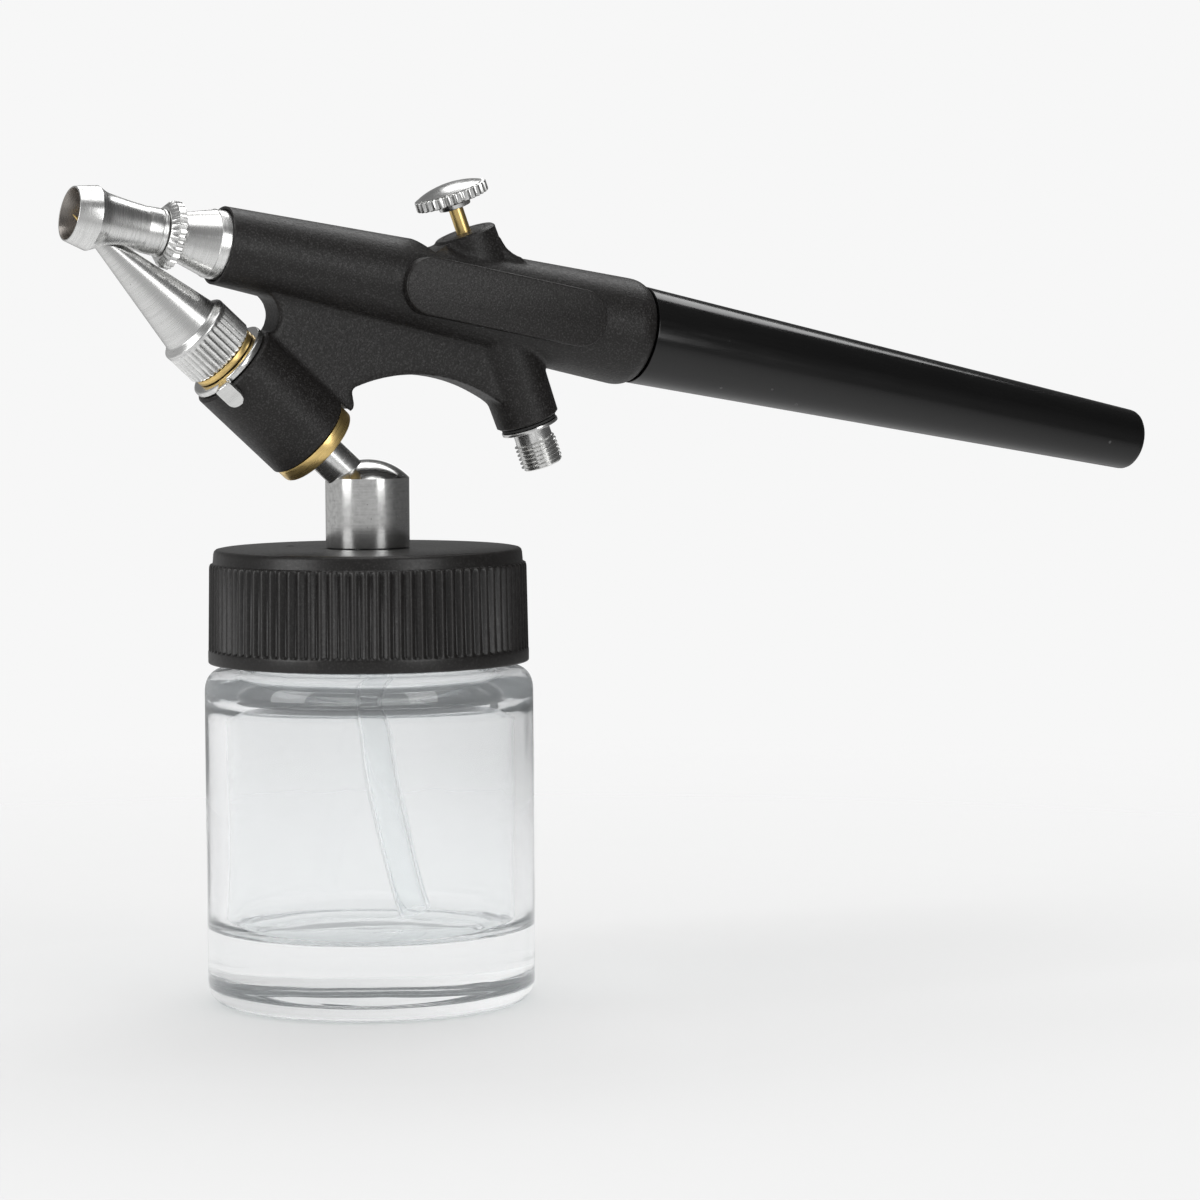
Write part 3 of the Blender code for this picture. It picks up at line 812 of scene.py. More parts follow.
ALUMINIUM = TurnedMetal("turned_aluminium", "aluminium", (0.82, 0.82, 0.81), 0.26)
# aluminium with painted shade inside the bell's bore
ALUMINIUM_BORE_SHADE = TurnedMetal("aluminium_bore_shade", "aluminium", (0.82, 0.82, 0.81), 0.26,
                              bore_r=3.0, bore_end=3.1)
SMOOTH_ALUMINIUM = TurnedMetal("drawn_aluminium", "aluminium", (0.74, 0.74, 0.73), 0.17,
                               rings=5000.0, relief=0.06, pits=0.10)
STEEL = TurnedMetal("nickel_plate", "steel", (0.78, 0.78, 0.77), 0.24, rings=9000.0,
                    relief=0.10, pits=0.03)
BRASS = TurnedMetal("bright_brass", "brass", (0.93, 0.67, 0.27), 0.30, rings=9000.0,
                    relief=0.20, pits=0.03)
BODY_BLACK = MouldedPlastic("grained_black", "body_plastic", (0.0070, 0.0060, 0.0055), 0.45,
                            fineness=3000.0, relief=0.75, sparkle=0.026)
LID_BLACK = MouldedPlastic("satin_black", "lid_plastic", (0.0080, 0.0072, 0.0068), 0.36,
                           fineness=2600.0, relief=0.14, sparkle=0.012)
HANDLE_BLACK = PolishedPlastic("polished_black", "handle_plastic", (0.003, 0.003, 0.003), 0.15)
JAR_GLASS = PressedGlass("jar_glass", "glass", (0.98, 0.985, 0.988), 0.0, haze=0.045,
                         shoulder_haze=0.15, uneven=0.5)
TUBE_CLEAR = PressedGlass("clear_tube", "clear_tube", (0.97, 0.975, 0.975), 0.06, index=1.24,
                          uneven=0.1, haze=0.05)
RUBBER = Finish("black_rubber", "rubber", (0.020, 0.020, 0.020), 0.70)
LINER = Finish("pressed_foam", "liner_foam", (0.86, 0.86, 0.84), 0.60)


class SubAssembly:
    """A group of pieces that are built and dressed together."""

    def build(self) -> None:
        """Model every piece of the group."""
        raise NotImplementedError

    @staticmethod
    def dress(piece: bpy.types.Object, axis: Axis, finish: Finish, body: Body, node: str,
              crease: float = 32.0) -> bpy.types.Object:
        """Put a finished shape on its axis, smooth it, and give it its finish and body.

        Args:
            piece: The shape, in millimetres about its axis.
            axis: The axis it belongs on.
            finish: Its finish.
            body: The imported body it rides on.
            node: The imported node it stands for.
            crease: Edges sharper than this many degrees stay sharp.

        Returns:
            The same piece.
        """
        Bench.bring(piece, Matrix.Scale(MM, 4) @ AXES[axis])
        Bench.only(piece)
        bpy.ops.object.shade_smooth_by_angle(angle=math.radians(crease))
        piece.data.materials.clear()
        piece.data.materials.append(finish.material(axis))
        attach(piece, body.value)
        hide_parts(node)
        LOG.info("%s rides on %s and stands for %s", piece.name, body.value, node)
        return piece


@dataclass
class Moulding(SubAssembly):
    """The moulded black body: barrel, paint arm, web, bosses and blank name panels.

    Attributes are in millimetres; stations count along the axis that a feature is turned about.
    """

    front: float = 18.2
    rear: float = 72.6
    trigger_at: float = 52.8
    front_r: float = 4.5
    middle_r: float = 5.7
    rear_r: float = 6.4
    arm_front: float = 25.4
    arm_back: float = ARM_BACK
    arm_r: float = 5.45
    boss_top: float = -8.75
    boss_end: float = 14.8
    web_thickness: float = 4.5
    gusset_thickness: float = 6.0
    arch_centre: tuple[float, float] = (5.0, 52.3)
    arch_r: float = 20.1
    panel_at: float = 52.4
    panel_length: float = 26.3
    panel_height: float = 6.7
    panel_half_width: float = 6.25
    head_bore_r: float = 3.5
    head_bore_end: float = 27.0
    air_way_r: float = 1.3
    handle_bore_r: float = 4.7
    handle_bore_start: float = 64.0
    valve_bore_r: float = 2.6
    valve_wall: tuple[float, float] = (-4.5, 4.2)
    stem_way_r: float = 1.6
    tip_bore_r: float = 3.0
    tip_bore_end: float = 31.2
    paint_way_r: float = 1.1
    socket_bore_r: float = 3.6
    socket_bore_start: float = 31.9
    skin: float = 0.24
    spare: float = 1.2

    def beside_arm(self, station: float, above: float) -> Corner:
        """World X and Z of a point on the upper side of the paint axis."""
        point = AXES[Axis.PAINT] @ Vector((-above, 0.0, station))
        return point.x, point.z

    def web(self) -> bpy.types.Object:
        """Panel between the paint arm, the barrel and the inlet boss."""
        outline = arc((-14.5, 79.4), 2.8, 55, -55, 12)
        outline += [self.beside_arm(29.0, 2.5), self.beside_arm(self.arm_back + 0.3, 3.0)]
        outline += arc((-3.3, 69.1), 0.9, -110, 40, 8)
        outline += arc(self.arch_centre, self.arch_r, 112.5, 53, 24)
        outline += [(19.0, 69.0), (20.0, 73.0), (19.0, 79.5), (-10.0, 85.5), (-13.5, 84.5)]
        return self.upright_plate("web", outline, self.web_thickness)

    def gusset(self) -> bpy.types.Object:
        """Sweep from the back of the trigger boss down onto the barrel."""
        outline = arc((19.7, 89.7), 3.9, 200.4, 258.9, 12)
        outline += [(20.5, 81.5), (12.0, 82.5), (13.5, 87.5)]
        return self.upright_plate("gusset", outline, self.gusset_thickness)

    def upright_plate(self, name: str, outline: Sequence[Corner],
                      thickness: float) -> bpy.types.Object:
        """Stand a plate up in the gun's mid-plane."""
        return Bench.bring(Bench.plate(name, outline, thickness),
                           Matrix.Rotation(QUARTER_TURN, 4, "X"))

    def blank(self) -> bpy.types.Object:
        """Every swelling of the moulding, melted into one soft skin."""
        barrel = Bench.turned("body_moulding", [
            (self.front - self.spare, 0.0), (self.front - self.spare, self.front_r),
            (self.front, self.front_r), (self.trigger_at - 3.5, self.middle_r, 4.0),
            (self.rear - 0.9, self.rear_r, 1.2), (self.rear + 0.1, self.rear_r - 1.0, 0.2),
            (self.rear + 0.1, 0.0)])
        Bench.bring(barrel, AXES[Axis.BARREL])
        arm = Bench.turned("arm", [
            (self.arm_front - self.spare, 0.0), (self.arm_front - self.spare, self.arm_r),
            (self.arm_back + self.spare, self.arm_r), (self.arm_back + self.spare, 0.0)])
        boss = Bench.turned("boss", [
            (self.boss_top - self.spare, 0.0), (self.boss_top - self.spare, 3.7),
            (self.boss_top, 3.7), (5.0, 4.0), (self.boss_end + self.spare, 3.72),
            (self.boss_end + self.spare, 0.0)])
        Bench.bring(arm, AXES[Axis.PAINT])
        Bench.bring(boss, AXES[Axis.TRIGGER])
        for part in (arm, boss, self.web(), self.gusset()):
            Bench.combine(barrel, part)
        Bench.soften(barrel, self.skin, 12)
        return barrel

    def panels(self) -> bpy.types.Object:
        """A raised blank panel on each side of the barrel, drawn as one plate."""
        half = (self.panel_length - self.panel_height) / 2
        outline = arc((-half, 0.0), self.panel_height / 2, 90, 270, 20)
        outline += arc((half, 0.0), self.panel_height / 2, -90, 90, 20)
        plate = Bench.plate("panels", outline, 2 * self.panel_half_width)
        Bench.apply(plate, "BEVEL", width=0.22, segments=3, limit_method="ANGLE")
        level = AXES[Axis.BARREL] @ Matrix.Translation((0.0, 0.0, self.panel_at))
        return Bench.bring(plate, level @ Matrix.Rotation(QUARTER_TURN, 4, "Y")
                           @ Matrix.Rotation(QUARTER_TURN, 4, "X"))

    def cutters(self) -> list[bpy.types.Object]:
        """Trimmed ends with their small chamfers, and the bores that open in them."""
        front, rear, arm = self.front, self.rear, self.arm_r
        top, end, wall = self.boss_top, self.boss_end, self.valve_wall
        low, high = self.arm_front, self.arm_back
        shapes = [
            (Axis.BARREL, [
                (front - 3, 0), (front - 3, 9), (front + 0.25, 9),
                (front, self.front_r - 0.18, 0.1), (front, 4.28), (front + 0.2, 4.12),
                (front + 0.6, 4.1), (front + 0.6, self.head_bore_r),
                (self.head_bore_end, self.head_bore_r), (self.head_bore_end, self.air_way_r),
                (self.trigger_at, self.air_way_r), (self.trigger_at, 0)]),
            (Axis.BARREL, [
                (self.handle_bore_start, 0), (self.handle_bore_start, self.handle_bore_r),
                (rear - 0.02, self.handle_bore_r), (rear - 0.02, 9), (rear + 3, 9),
                (rear + 3, 0)]),
            (Axis.TRIGGER, [
                (top - 4, 0), (top - 4, 7), (top + 0.35, 7), (top + 0.3, 3.72, 0.05),
                (top, 3.42, 0.15), (top, self.valve_bore_r), (wall[0], self.valve_bore_r),
                (wall[0], self.stem_way_r), (wall[1], self.stem_way_r),
                (wall[1], self.valve_bore_r), (end, self.valve_bore_r), (end, 3.4, 0.15),
                (end - 0.3, 3.72, 0.05), (end - 0.3, 5.5), (end + 4, 5.5), (end + 4, 0)]),
            (Axis.PAINT, [
                (low - 3, 0), (low - 3, 7), (low + 0.3, 7), (low + 0.3, arm, 0.05),
                (low, arm - 0.3, 0.15), (low, self.tip_bore_r),
                (self.tip_bore_end, self.tip_bore_r), (self.tip_bore_end, self.paint_way_r),
                (self.socket_bore_start, self.paint_way_r),
                (self.socket_bore_start, self.socket_bore_r), (high, self.socket_bore_r),
                (high, arm - 0.25, 0.15), (high - 0.2, arm + 0.1), (high + 4, 5.6),
                (high + 4, 0)]),
        ]
        return [Bench.bring(Bench.turned("cutter", corners), AXES[axis])
                for axis, corners in shapes]

    def build(self) -> None:
        """Model the moulding and its gland plug."""
        moulding = self.blank()
        Bench.combine(moulding, self.panels())
        for cutter in self.cutters():
            Bench.combine(moulding, cutter, "DIFFERENCE")
        self.dress(moulding, Axis.UPRIGHT, BODY_BLACK, Body.GUN, "body_shell")
        plug = Bench.turned("stem_gland_plug", [
            (self.boss_top, 0.95, 0.1), (self.boss_top, 2.54, 0.06), (-6.2, 2.54), (-6.2, 0.95)])
        self.dress(plug, Axis.TRIGGER, BODY_BLACK, Body.GUN, "stem_gland")


@dataclass
class SprayHead(SubAssembly):
    """Bell, lock ring and head cone, turned about the barrel axis."""

    ring_front: float = RING_FRONT
    ring_back: float = 12.75
    ring_r: float = 3.9
    ridges: int = 30
    columns_per_ridge: tuple[float, ...] = (0.0, 0.0, 0.7, 1.0, 0.7)
    groove_depth: float = 0.3

    def bell(self) -> None:
        """Flared bell whose underside makes room for the paint cone."""
        bell = Bench.turned("turned_bell", [
            (0.0, 2.93, 0.05), (0.0, 3.12, 0.08), (2.62, 3.72, 0.06), (3.7, 3.2, 0.45),
            (6.3, 2.83, 1.7), (8.75, 2.64, 0.05), (10.3, 2.72, 0.04), (10.38, 2.6, 0.03),
            (10.6, 2.6, 0.03), (10.68, 2.75, 0.04), (11.0, 2.75, 0.05), (11.0, 1.9), (8.3, 1.9),
            (8.3, 0.5), (3.6, 0.5, 0.1), (2.7, 2.4, 0.35)], columns=128)
        cone = Bench.turned("notch", [(2.4, 0.0), (2.4, 1.09), (14.0, 3.26), (14.0, 0.0)],
                            columns=128)
        Bench.bring(cone, AXES[Axis.BARREL].inverted() @ AXES[Axis.PAINT])
        Bench.combine(bell, cone, "DIFFERENCE")
        # the bell's finish paints shade inside its mouth
        self.dress(bell, Axis.BARREL, ALUMINIUM_BORE_SHADE, Body.GUN, "spray_bell")

    def ring(self) -> None:
        """Lock ring with straight coarse grooves and a plain front chamfer."""
        front, back, radius = self.ring_front, self.ring_back, self.ring_r
        ring = Bench.turned("grooved_lock_ring", [
            (front, 1.95), (front, 3.05, 0.06), (front + 0.72, radius - 0.1, 0.04),
            (front + 0.85, radius - 0.06), (back - 0.12, radius), (back, radius - 0.2, 0.04),
            (back, 1.95)],
            columns=self.ridges * len(self.columns_per_ridge))
        Bench.groove(ring, self.ridges, self.columns_per_ridge, self.groove_depth,
                     front + 0.6, back + 0.1, 3.0)
        self.dress(ring, Axis.BARREL, ALUMINIUM, Body.LOCK_NUT, "lock_ring")

    def cone(self) -> None:
        """Cone between the lock ring and the barrel, with a plain rear band."""
        cone = Bench.turned("turned_head_cone", [
            (8.6, 0.7), (8.6, 1.8), (12.85, 1.8), (12.85, 2.62, 0.08), (12.95, 2.72),
            (16.95, 3.86, 0.03), (16.98, 3.95, 0.03), (18.7, 4.0), (18.7, 3.4), (26.6, 3.4),
            (26.6, 0.7)])
        self.dress(cone, Axis.BARREL, ALUMINIUM, Body.GUN, "head_cone")

    def build(self) -> None:
        """Model the head's three pieces."""
        self.bell()
        self.ring()
        self.cone()


@dataclass
class PaintTip(SubAssembly):
    """Cone with its knurled collar, the needle, its brass carrier and the tab washer."""

    tip_front: float = 1.2
    collar_front: float = 18.65
    collar_back: float = 23.6
    collar_r: float = 4.43
    washer_front: float = 24.5
    washer_back: float = 25.3
    washer_r: float = 5.1
    ridges: int = 36
    columns_per_ridge: tuple[float, ...] = (0.0, 0.25, 1.0, 0.25)
    groove_depth: float = 0.3
    tab_side: float = math.radians(40)
    tab_length: float = 3.2
    tab_half_width: float = 1.05
    tab_thickness: float = 0.7

    def tip(self) -> None:
        """Straight cone that ends in a knurled collar."""
        front, back, radius = self.collar_front, self.collar_back, self.collar_r
        tip = Bench.turned("knurled_paint_tip", [
            (self.tip_front, 0.34), (self.tip_front, 0.41, 0.02), (front, 3.675, 0.12),
            (front + 0.55, radius, 0.14), (front + 0.8, radius), (front + 1.0, radius),
            (front + 1.3, radius), (back - 0.3, radius), (back, radius - 0.22, 0.05),
            (back, 2.6), (19.2, 2.6), (19.2, 2.75), (17.6, 2.75), (17.6, 2.1), (14.0, 2.1)],
            columns=self.ridges * len(self.columns_per_ridge))
        for low, high, share in ((0.9, 1.1, 0.55), (1.2, 6.0, 1.0)):
            Bench.groove(tip, self.ridges, self.columns_per_ridge, self.groove_depth * share,
                         front + low, front + high, 3.0)
        self.dress(tip, Axis.PAINT, ALUMINIUM, Body.PAINT_TIP, "fluid_tip")

    def needle(self) -> None:
        """Needle whose point shows in the bell's mouth, and the carrier that holds it."""
        needle = Bench.turned("needle_point", [
            (0.0, 0.0), (0.02, 0.03), (self.tip_front, 0.28), (5.0, 0.5), (16.3, 0.55),
            (16.3, 0.0)], columns=40)
        self.dress(needle, Axis.PAINT, BRASS, Body.GUN, "fluid_needle")
        carrier = Bench.turned("brass_carrier", [
            (15.2, 0.65), (15.2, 1.4), (17.8, 1.4), (17.8, 1.85), (19.6, 1.85), (19.6, 2.5),
            (23.7, 2.5), (23.7, 4.1, 0.1), (24.4, 4.1, 0.1), (24.4, 2.9), (31.0, 2.9),
            (31.0, 1.0), (16.4, 1.0), (16.4, 0.65)])
        self.dress(carrier, Axis.PAINT, BRASS, Body.GUN, "needle_carrier")

    def washer(self) -> None:
        """Soft-edged washer whose round tab is bent back over the arm."""
        washer = Bench.turned("bent_tab_washer", [
            (self.washer_front, 3.1), (self.washer_front, self.washer_r, 0.2),
            (self.washer_back, self.washer_r, 0.2), (self.washer_back, 3.1)])
        half = self.tab_half_width
        end = self.washer_front + self.tab_length - half
        outline = [(self.washer_front + 0.1, -half, 0.3)] + arc((end, 0.0), half, -90, 90, 12)
        outline += [(self.washer_front + 0.1, half, 0.3)]
        tab = Bench.plate("tab", outline, self.tab_thickness)
        Bench.bring(tab, Matrix.Rotation(self.tab_side, 4, "Z")
                    @ Matrix.Translation((0.0, -5.95, 0.0))
                    @ Matrix.Rotation(QUARTER_TURN, 4, "X") @ Matrix.Rotation(QUARTER_TURN, 4, "Z"))
        neck = Bench.plate("neck", [(-0.38, -1.1), (0.38, -1.1), (0.38, 1.2), (-0.38, 1.2)], 1.3)
        Bench.bring(neck, Matrix.Rotation(self.tab_side, 4, "Z")
                    @ Matrix.Translation((0.0, -5.0, self.washer_front + 0.42))
                    @ Matrix.Rotation(-QUARTER_TURN, 4, "Y"))
        Bench.combine(washer, tab)
        Bench.combine(washer, neck)
        Bench.soften(washer, 0.09, 5)
        self.dress(washer, Axis.PAINT, STEEL, Body.GUN, "tab_washer")

    def build(self) -> None:
        """Model the paint tip's pieces."""
        self.tip()
        self.needle()
        self.washer()


@dataclass
class Trigger(SubAssembly):
    """Fluted button, its stem and the air inlet, on the trigger axis."""

    button_top: float = -14.75
    button_under: float = -12.6
    hub_under: float = -11.8
    button_r: float = 4.35
    stem_r: float = 0.85
    flutes: int = 32
    columns_per_flute: tuple[float, ...] = (0.0, 0.55, 0.9, 1.0, 0.9, 0.55)
    flute_depth: float = 0.27
    flange_top: float = 15.25
    thread_start: float = 17.1
    fitting_end: float = FITTING_END
    thread_r: float = 2.5
    bore_r: float = 1.15
    pitch: float = 0.5

    def button(self) -> None:
        """Domed button with coarse flutes round its rim and a hub below."""
        top, under, radius = self.button_top, self.button_under, self.button_r
        button = Bench.turned("fluted_button", [
            (top, 0.0), (top + 0.06, 1.3, 0.6), (top + 0.42, 3.1, 0.8), (top + 0.86, 4.05, 0.12),
            (top + 0.98, radius, 0.05), (under - 0.1, radius, 0.05), (under, radius - 0.15, 0.04),
            (under, 2.0, 0.1), (self.hub_under, 1.85, 0.1), (self.hub_under, self.stem_r + 0.08),
            (top + 1.0, self.stem_r + 0.08), (top + 1.0, 0.0)],
            columns=self.flutes * len(self.columns_per_flute))
        Bench.groove(button, self.flutes, self.columns_per_flute, self.flute_depth,
                     top + 0.84, under + 0.05, 3.6)
        self.dress(button, Axis.TRIGGER, STEEL, Body.TRIGGER, "trigger_button")
        stem = Bench.turned("brass_stem", [
            (top + 1.05, 0.0), (top + 1.05, self.stem_r, 0.1), (-0.4, self.stem_r, 0.1),
            (-0.4, 0.0)], columns=48)
        self.dress(stem, Axis.TRIGGER, BRASS, Body.TRIGGER, "trigger_stem")

    def inlet(self) -> None:
        """Inlet fitting with a thin flange, a relief neck and a cut thread."""
        end, root = self.fitting_end, self.thread_r - 0.3
        core = Bench.turned("threaded_inlet", [
            (10.2, self.bore_r), (10.2, 2.5), (self.flange_top, 2.5), (self.flange_top, 3.4, 0.08),
            (self.flange_top + 0.4, 3.4, 0.08), (self.flange_top + 0.4, 2.2, 0.1),
            (self.thread_start, 2.2), (self.thread_start, root), (end, root),
            (end, self.bore_r, 0.1)])
        tooth = [(0.02, root - 0.15), (0.22, self.thread_r), (0.28, self.thread_r),
                 (0.48, root - 0.15)]
        turns = math.ceil((end - self.thread_start) / self.pitch) + 1
        helix = Bench.thread("helix", tooth, self.pitch, turns, columns=64)
        Bench.bring(helix, Matrix.Translation((0.0, 0.0, self.thread_start - self.pitch)))
        keep = Bench.turned("lead_in", [
            (self.thread_start - 0.1, 0.0), (self.thread_start - 0.1, root + 0.02),
            (self.thread_start + 0.3, self.thread_r + 0.1), (end - 0.4, self.thread_r + 0.1),
            (end, self.thread_r - 0.3), (end, 0.0)])
        Bench.combine(helix, keep, "INTERSECT")
        bore = Bench.turned("bore", [
            (10.0, 0.0), (10.0, self.bore_r), (21.0, self.bore_r), (21.0, 0.0)])
        Bench.combine(core, helix)
        Bench.combine(core, bore, "DIFFERENCE")
        self.dress(core, Axis.TRIGGER, STEEL, Body.GUN, "inlet_fitting")

    def build(self) -> None:
        """Model the trigger's and inlet's pieces."""
        self.button()
        self.inlet()


@dataclass
class Handle(SubAssembly):
    """Polished tail, a hollow taper with a rounded closed end."""

    shoulder: float = 72.7
    end: float = 145.2
    front_r: float = 5.8
    end_r: float = 3.75
    plug_front: float = 64.4
    plug_r: float = 4.6
    bore_r: float = 3.5
    bore_end: float = 141.2
    bore_end_r: float = 2.2

    def build(self) -> None:
        """Model the handle."""
        handle = Bench.turned("polished_handle", [
            (self.bore_end, 0.0), (self.bore_end, self.bore_end_r),
            (self.shoulder, self.bore_r), (self.plug_front, self.bore_r),
            (self.plug_front, self.plug_r, 0.1), (self.shoulder, self.plug_r),
            (self.shoulder, self.front_r, 0.1),
            (self.end, self.end_r, 1.05), (self.end - 0.02, 1.6), (self.end, 0.0)], columns=128)
        self.dress(handle, Axis.BARREL, HANDLE_BLACK, Body.GUN, "handle")


@dataclass
class Siphon(SubAssembly):
    """Brass socket flange, bent siphon pipe, domed stem and clear dip tube."""

    arm_back: float = ARM_BACK
    flange_back: float = 39.65
    pipe_r: float = 2.2
    pipe_bore_r: float = 1.2
    pipe_start: float = 32.1
    pipe_end: float = 47.0
    stem_r: float = 4.84
    stem_foot: float = 52.6
    stem_top: float = 62.7
    cap_height: float = 2.1
    dip_top: float = 46.5
    dip_end: float = 10.0
    dip_bend: float = 5.6
    dip_r: float = 2.0
    dip_wall: float = 0.5

    def socket(self) -> None:
        """Brass bush with a rounded flange, and the steel pipe that turns in it."""
        front = self.arm_back + 0.1
        bush = Bench.turned("socket_flange", [
            (33.0, 2.3), (33.0, 3.5), (front, 3.5), (front, 5.2, 0.12),
            (self.flange_back, 5.2, 0.3), (self.flange_back, 2.3, 0.15)])
        self.dress(bush, Axis.PAINT, BRASS, Body.GUN, "socket_bush")
        pipe = Bench.turned("siphon_pipe", [
            (self.pipe_start, self.pipe_bore_r), (self.pipe_start, self.pipe_r, 0.2),
            (self.pipe_end, self.pipe_r), (self.pipe_end, self.pipe_bore_r)])
        self.dress(pipe, Axis.PAINT, STEEL, Body.SIPHON, "siphon_tube")

    def stem(self) -> None:
        """Stem whose top is a shallow ball cap, cut through by the pipe's socket."""
        ball = (self.stem_r ** 2 + self.cap_height ** 2) / (2 * self.cap_height)
        centre = self.stem_top - ball
        edge = math.degrees(math.asin(self.stem_r / ball))
        dome = [(centre + y, x) for x, y in arc((0.0, 0.0), ball, 90 - edge, 90, 16)]
        foot = self.stem_foot
        stem = Bench.turned("domed_stem", [
            (57.0, 0.0), (57.0, 0.75), (42.0, 0.75), (42.0, 1.2), (42.3, 1.3), (47.1, 1.3),
            (47.1, 2.9), (foot, 2.9), (foot, self.stem_r, 0.08), *dome])
        socket = Bench.turned("pipe_socket", [
            (38.0, 0.0), (38.0, self.pipe_r + 0.04), (self.pipe_end + 0.3, self.pipe_r + 0.04),
            (self.pipe_end + 0.3, 1.0), (49.5, 1.0), (49.5, 0.0)])
        Bench.bring(socket, AXES[Axis.PAINT])
        Bench.combine(stem, socket, "DIFFERENCE")
        self.dress(stem, Axis.UPRIGHT, SMOOTH_ALUMINIUM, Body.SIPHON, "stem_adapter")

    def dip_tube(self) -> None:
        """Clear tube that bends away from the jar's middle and stops above its floor."""
        steps = 24
        reach = self.dip_end - self.dip_top
        bpy.ops.object.select_all(action="DESELECT")
        bpy.ops.curve.primitive_bezier_curve_add()
        tube = bpy.context.object
        tube.name = "clear_dip_tube"
        line = tube.data
        line.splines.clear()
        spline = line.splines.new("POLY")
        spline.points.add(steps)
        for index, point in enumerate(spline.points):
            share = index / steps
            point.co = (self.dip_bend * share ** 2.2, 0.0, self.dip_top + reach * share, 1.0)
        line.dimensions = "3D"
        line.bevel_depth = self.dip_r
        line.bevel_resolution = 8
        Bench.only(tube)
        bpy.ops.object.convert(target="MESH")
        Bench.apply(tube, "SOLIDIFY", thickness=self.dip_wall, offset=-1.0)
        self.dress(tube, Axis.UPRIGHT, TUBE_CLEAR, Body.SIPHON, "dip_tube", crease=50.0)

    def build(self) -> None:
        """Model the siphon's pieces."""
        self.socket()
        self.stem()
        self.dip_tube()


@dataclass
class PaintJar(SubAssembly):
    """Ribbed lid and pressed-glass jar."""

    radius: float = 18.95
    floor: float = 8.4
    bore_r: float = 16.5
    shoulder: float = 38.8
    rim: float = 49.2
    neck_r: float = 15.0
    neck_bore_r: float = 12.6
    thread_pitch: float = 3.0
    lid_bottom: float = 39.4
    lid_top: float = 52.5
    lid_r: float = 18.5
    lid_bore_r: float = 16.4
    ribs: int = 90
    columns_per_rib: tuple[float, ...] = (0.0, 0.12, 0.75, 1.0, 0.75, 0.12)
    rib_depth: float = 0.45

    def lid(self) -> None:
        """Lid with rounded ribs between a plain foot band and a plain top edge."""
        low, top, radius = self.lid_bottom, self.lid_top, self.lid_r
        lid = Bench.turned("ribbed_lid", [
            (low, self.lid_bore_r, 0.2), (low, radius, 0.2), (low + 1.35, radius, 0.1),
            (low + 1.5, radius - 0.04), (low + 1.65, radius - 0.04), (low + 1.85, radius - 0.04),
            (top - 2.2, radius - 0.2), (top - 2.0, radius - 0.22), (top - 1.75, radius - 0.3),
            (top - 1.6, radius - 0.62, 0.08), (top, radius - 0.75, 0.55), (top, 3.1, 0.1),
            (top - 1.8, 3.1), (top - 1.8, self.lid_bore_r)],
            columns=self.ribs * len(self.columns_per_rib))
        bands = ((low + 1.58, low + 1.7, 0.6), (low + 1.75, top - 2.1, 1.0),
                 (top - 2.05, top - 1.95, 0.85), (top - 1.8, top - 1.7, 0.5))
        for start, end, share in bands:
            Bench.groove(lid, self.ribs, self.columns_per_rib, self.rib_depth * share, start, end,
                         17.0)
        vent = Bench.turned("vent", [(48.0, 0.0), (48.0, 0.5), (54.0, 0.5), (54.0, 0.0)],
                            columns=32)
        Bench.bring(vent, Matrix.Translation((-6.0, 8.5, 0.0)))
        Bench.combine(lid, vent, "DIFFERENCE")
        self.dress(lid, Axis.UPRIGHT, LID_BLACK, Body.JAR_LID, "lid", crease=40.0)

    def jar(self) -> None:
        """Thick-walled jar with a heavy base, a round shoulder and a one-turn neck thread."""
        jar = Bench.turned("pressed_glass_jar", [
            (0.35, 0.0), (0.35, 12.6, 0.5), (0.0, 13.8, 0.5), (0.0, self.radius, 2.7),
            (self.shoulder, self.radius, 2.8), (self.shoulder, self.neck_r, 0.5),
            (self.rim, self.neck_r, 0.5), (self.rim, self.neck_bore_r, 0.5),
            (38.3, self.neck_bore_r, 1.6), (34.6, self.bore_r, 2.0),
            (self.floor, self.bore_r, 2.2), (self.floor, 0.0)], columns=160)
        tooth = [(0.0, self.neck_r - 0.3), (0.7, self.neck_r + 0.85, 0.3),
                 (1.3, self.neck_r + 0.85, 0.3), (2.0, self.neck_r - 0.3)]
        bead = Bench.thread("bead", tooth, self.thread_pitch, 1, columns=96)
        Bench.bring(bead, Matrix.Translation((0.0, 0.0, 42.0)))
        Bench.combine(jar, bead)
        self.dress(jar, Axis.UPRIGHT, JAR_GLASS, Body.PAINT_JAR, "jar")

    def build(self) -> None:
        """Model the lid and the jar."""
        self.lid()
        self.jar()


@dataclass
class Internals(SubAssembly):
    """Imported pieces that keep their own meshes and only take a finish."""

    def build(self) -> None:
        """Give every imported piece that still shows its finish."""
        finishes = {
            "head_o_ring": (RUBBER, Axis.BARREL), "tip_seal": (RUBBER, Axis.PAINT),
            "stem_seal": (RUBBER, Axis.TRIGGER), "valve_seat": (RUBBER, Axis.TRIGGER),
            "socket_o_ring": (RUBBER, Axis.PAINT), "inlet_gasket": (RUBBER, Axis.TRIGGER),
            "valve_plunger": (BRASS, Axis.TRIGGER), "valve_spring": (STEEL, Axis.TRIGGER),
            "stem_nut": (STEEL, Axis.UPRIGHT), "lid_liner": (LINER, Axis.UPRIGHT),
        }
        for node, (finish, axis) in finishes.items():
            piece = frame["nodes"][node]
            piece.data.materials.clear()
            piece.data.materials.append(finish.material(axis))
            LOG.info("%s keeps its packed shape", node)


@dataclass
class Softbox:
    """A square studio light.

    Attributes:
        name: Its name.
        right_of_camera: How far round it stands from the camera, in degrees to the right.
        distance: How far from the gun it stands, in metres.
        height: Its middle's height, in metres.
        width: Its width, in metres.
        tall: Its height from edge to edge, in metres.
        radiance: How bright its face is.
    """

    name: str
    right_of_camera: float
    distance: float
    height: float
    width: float
    tall: float
    radiance: float


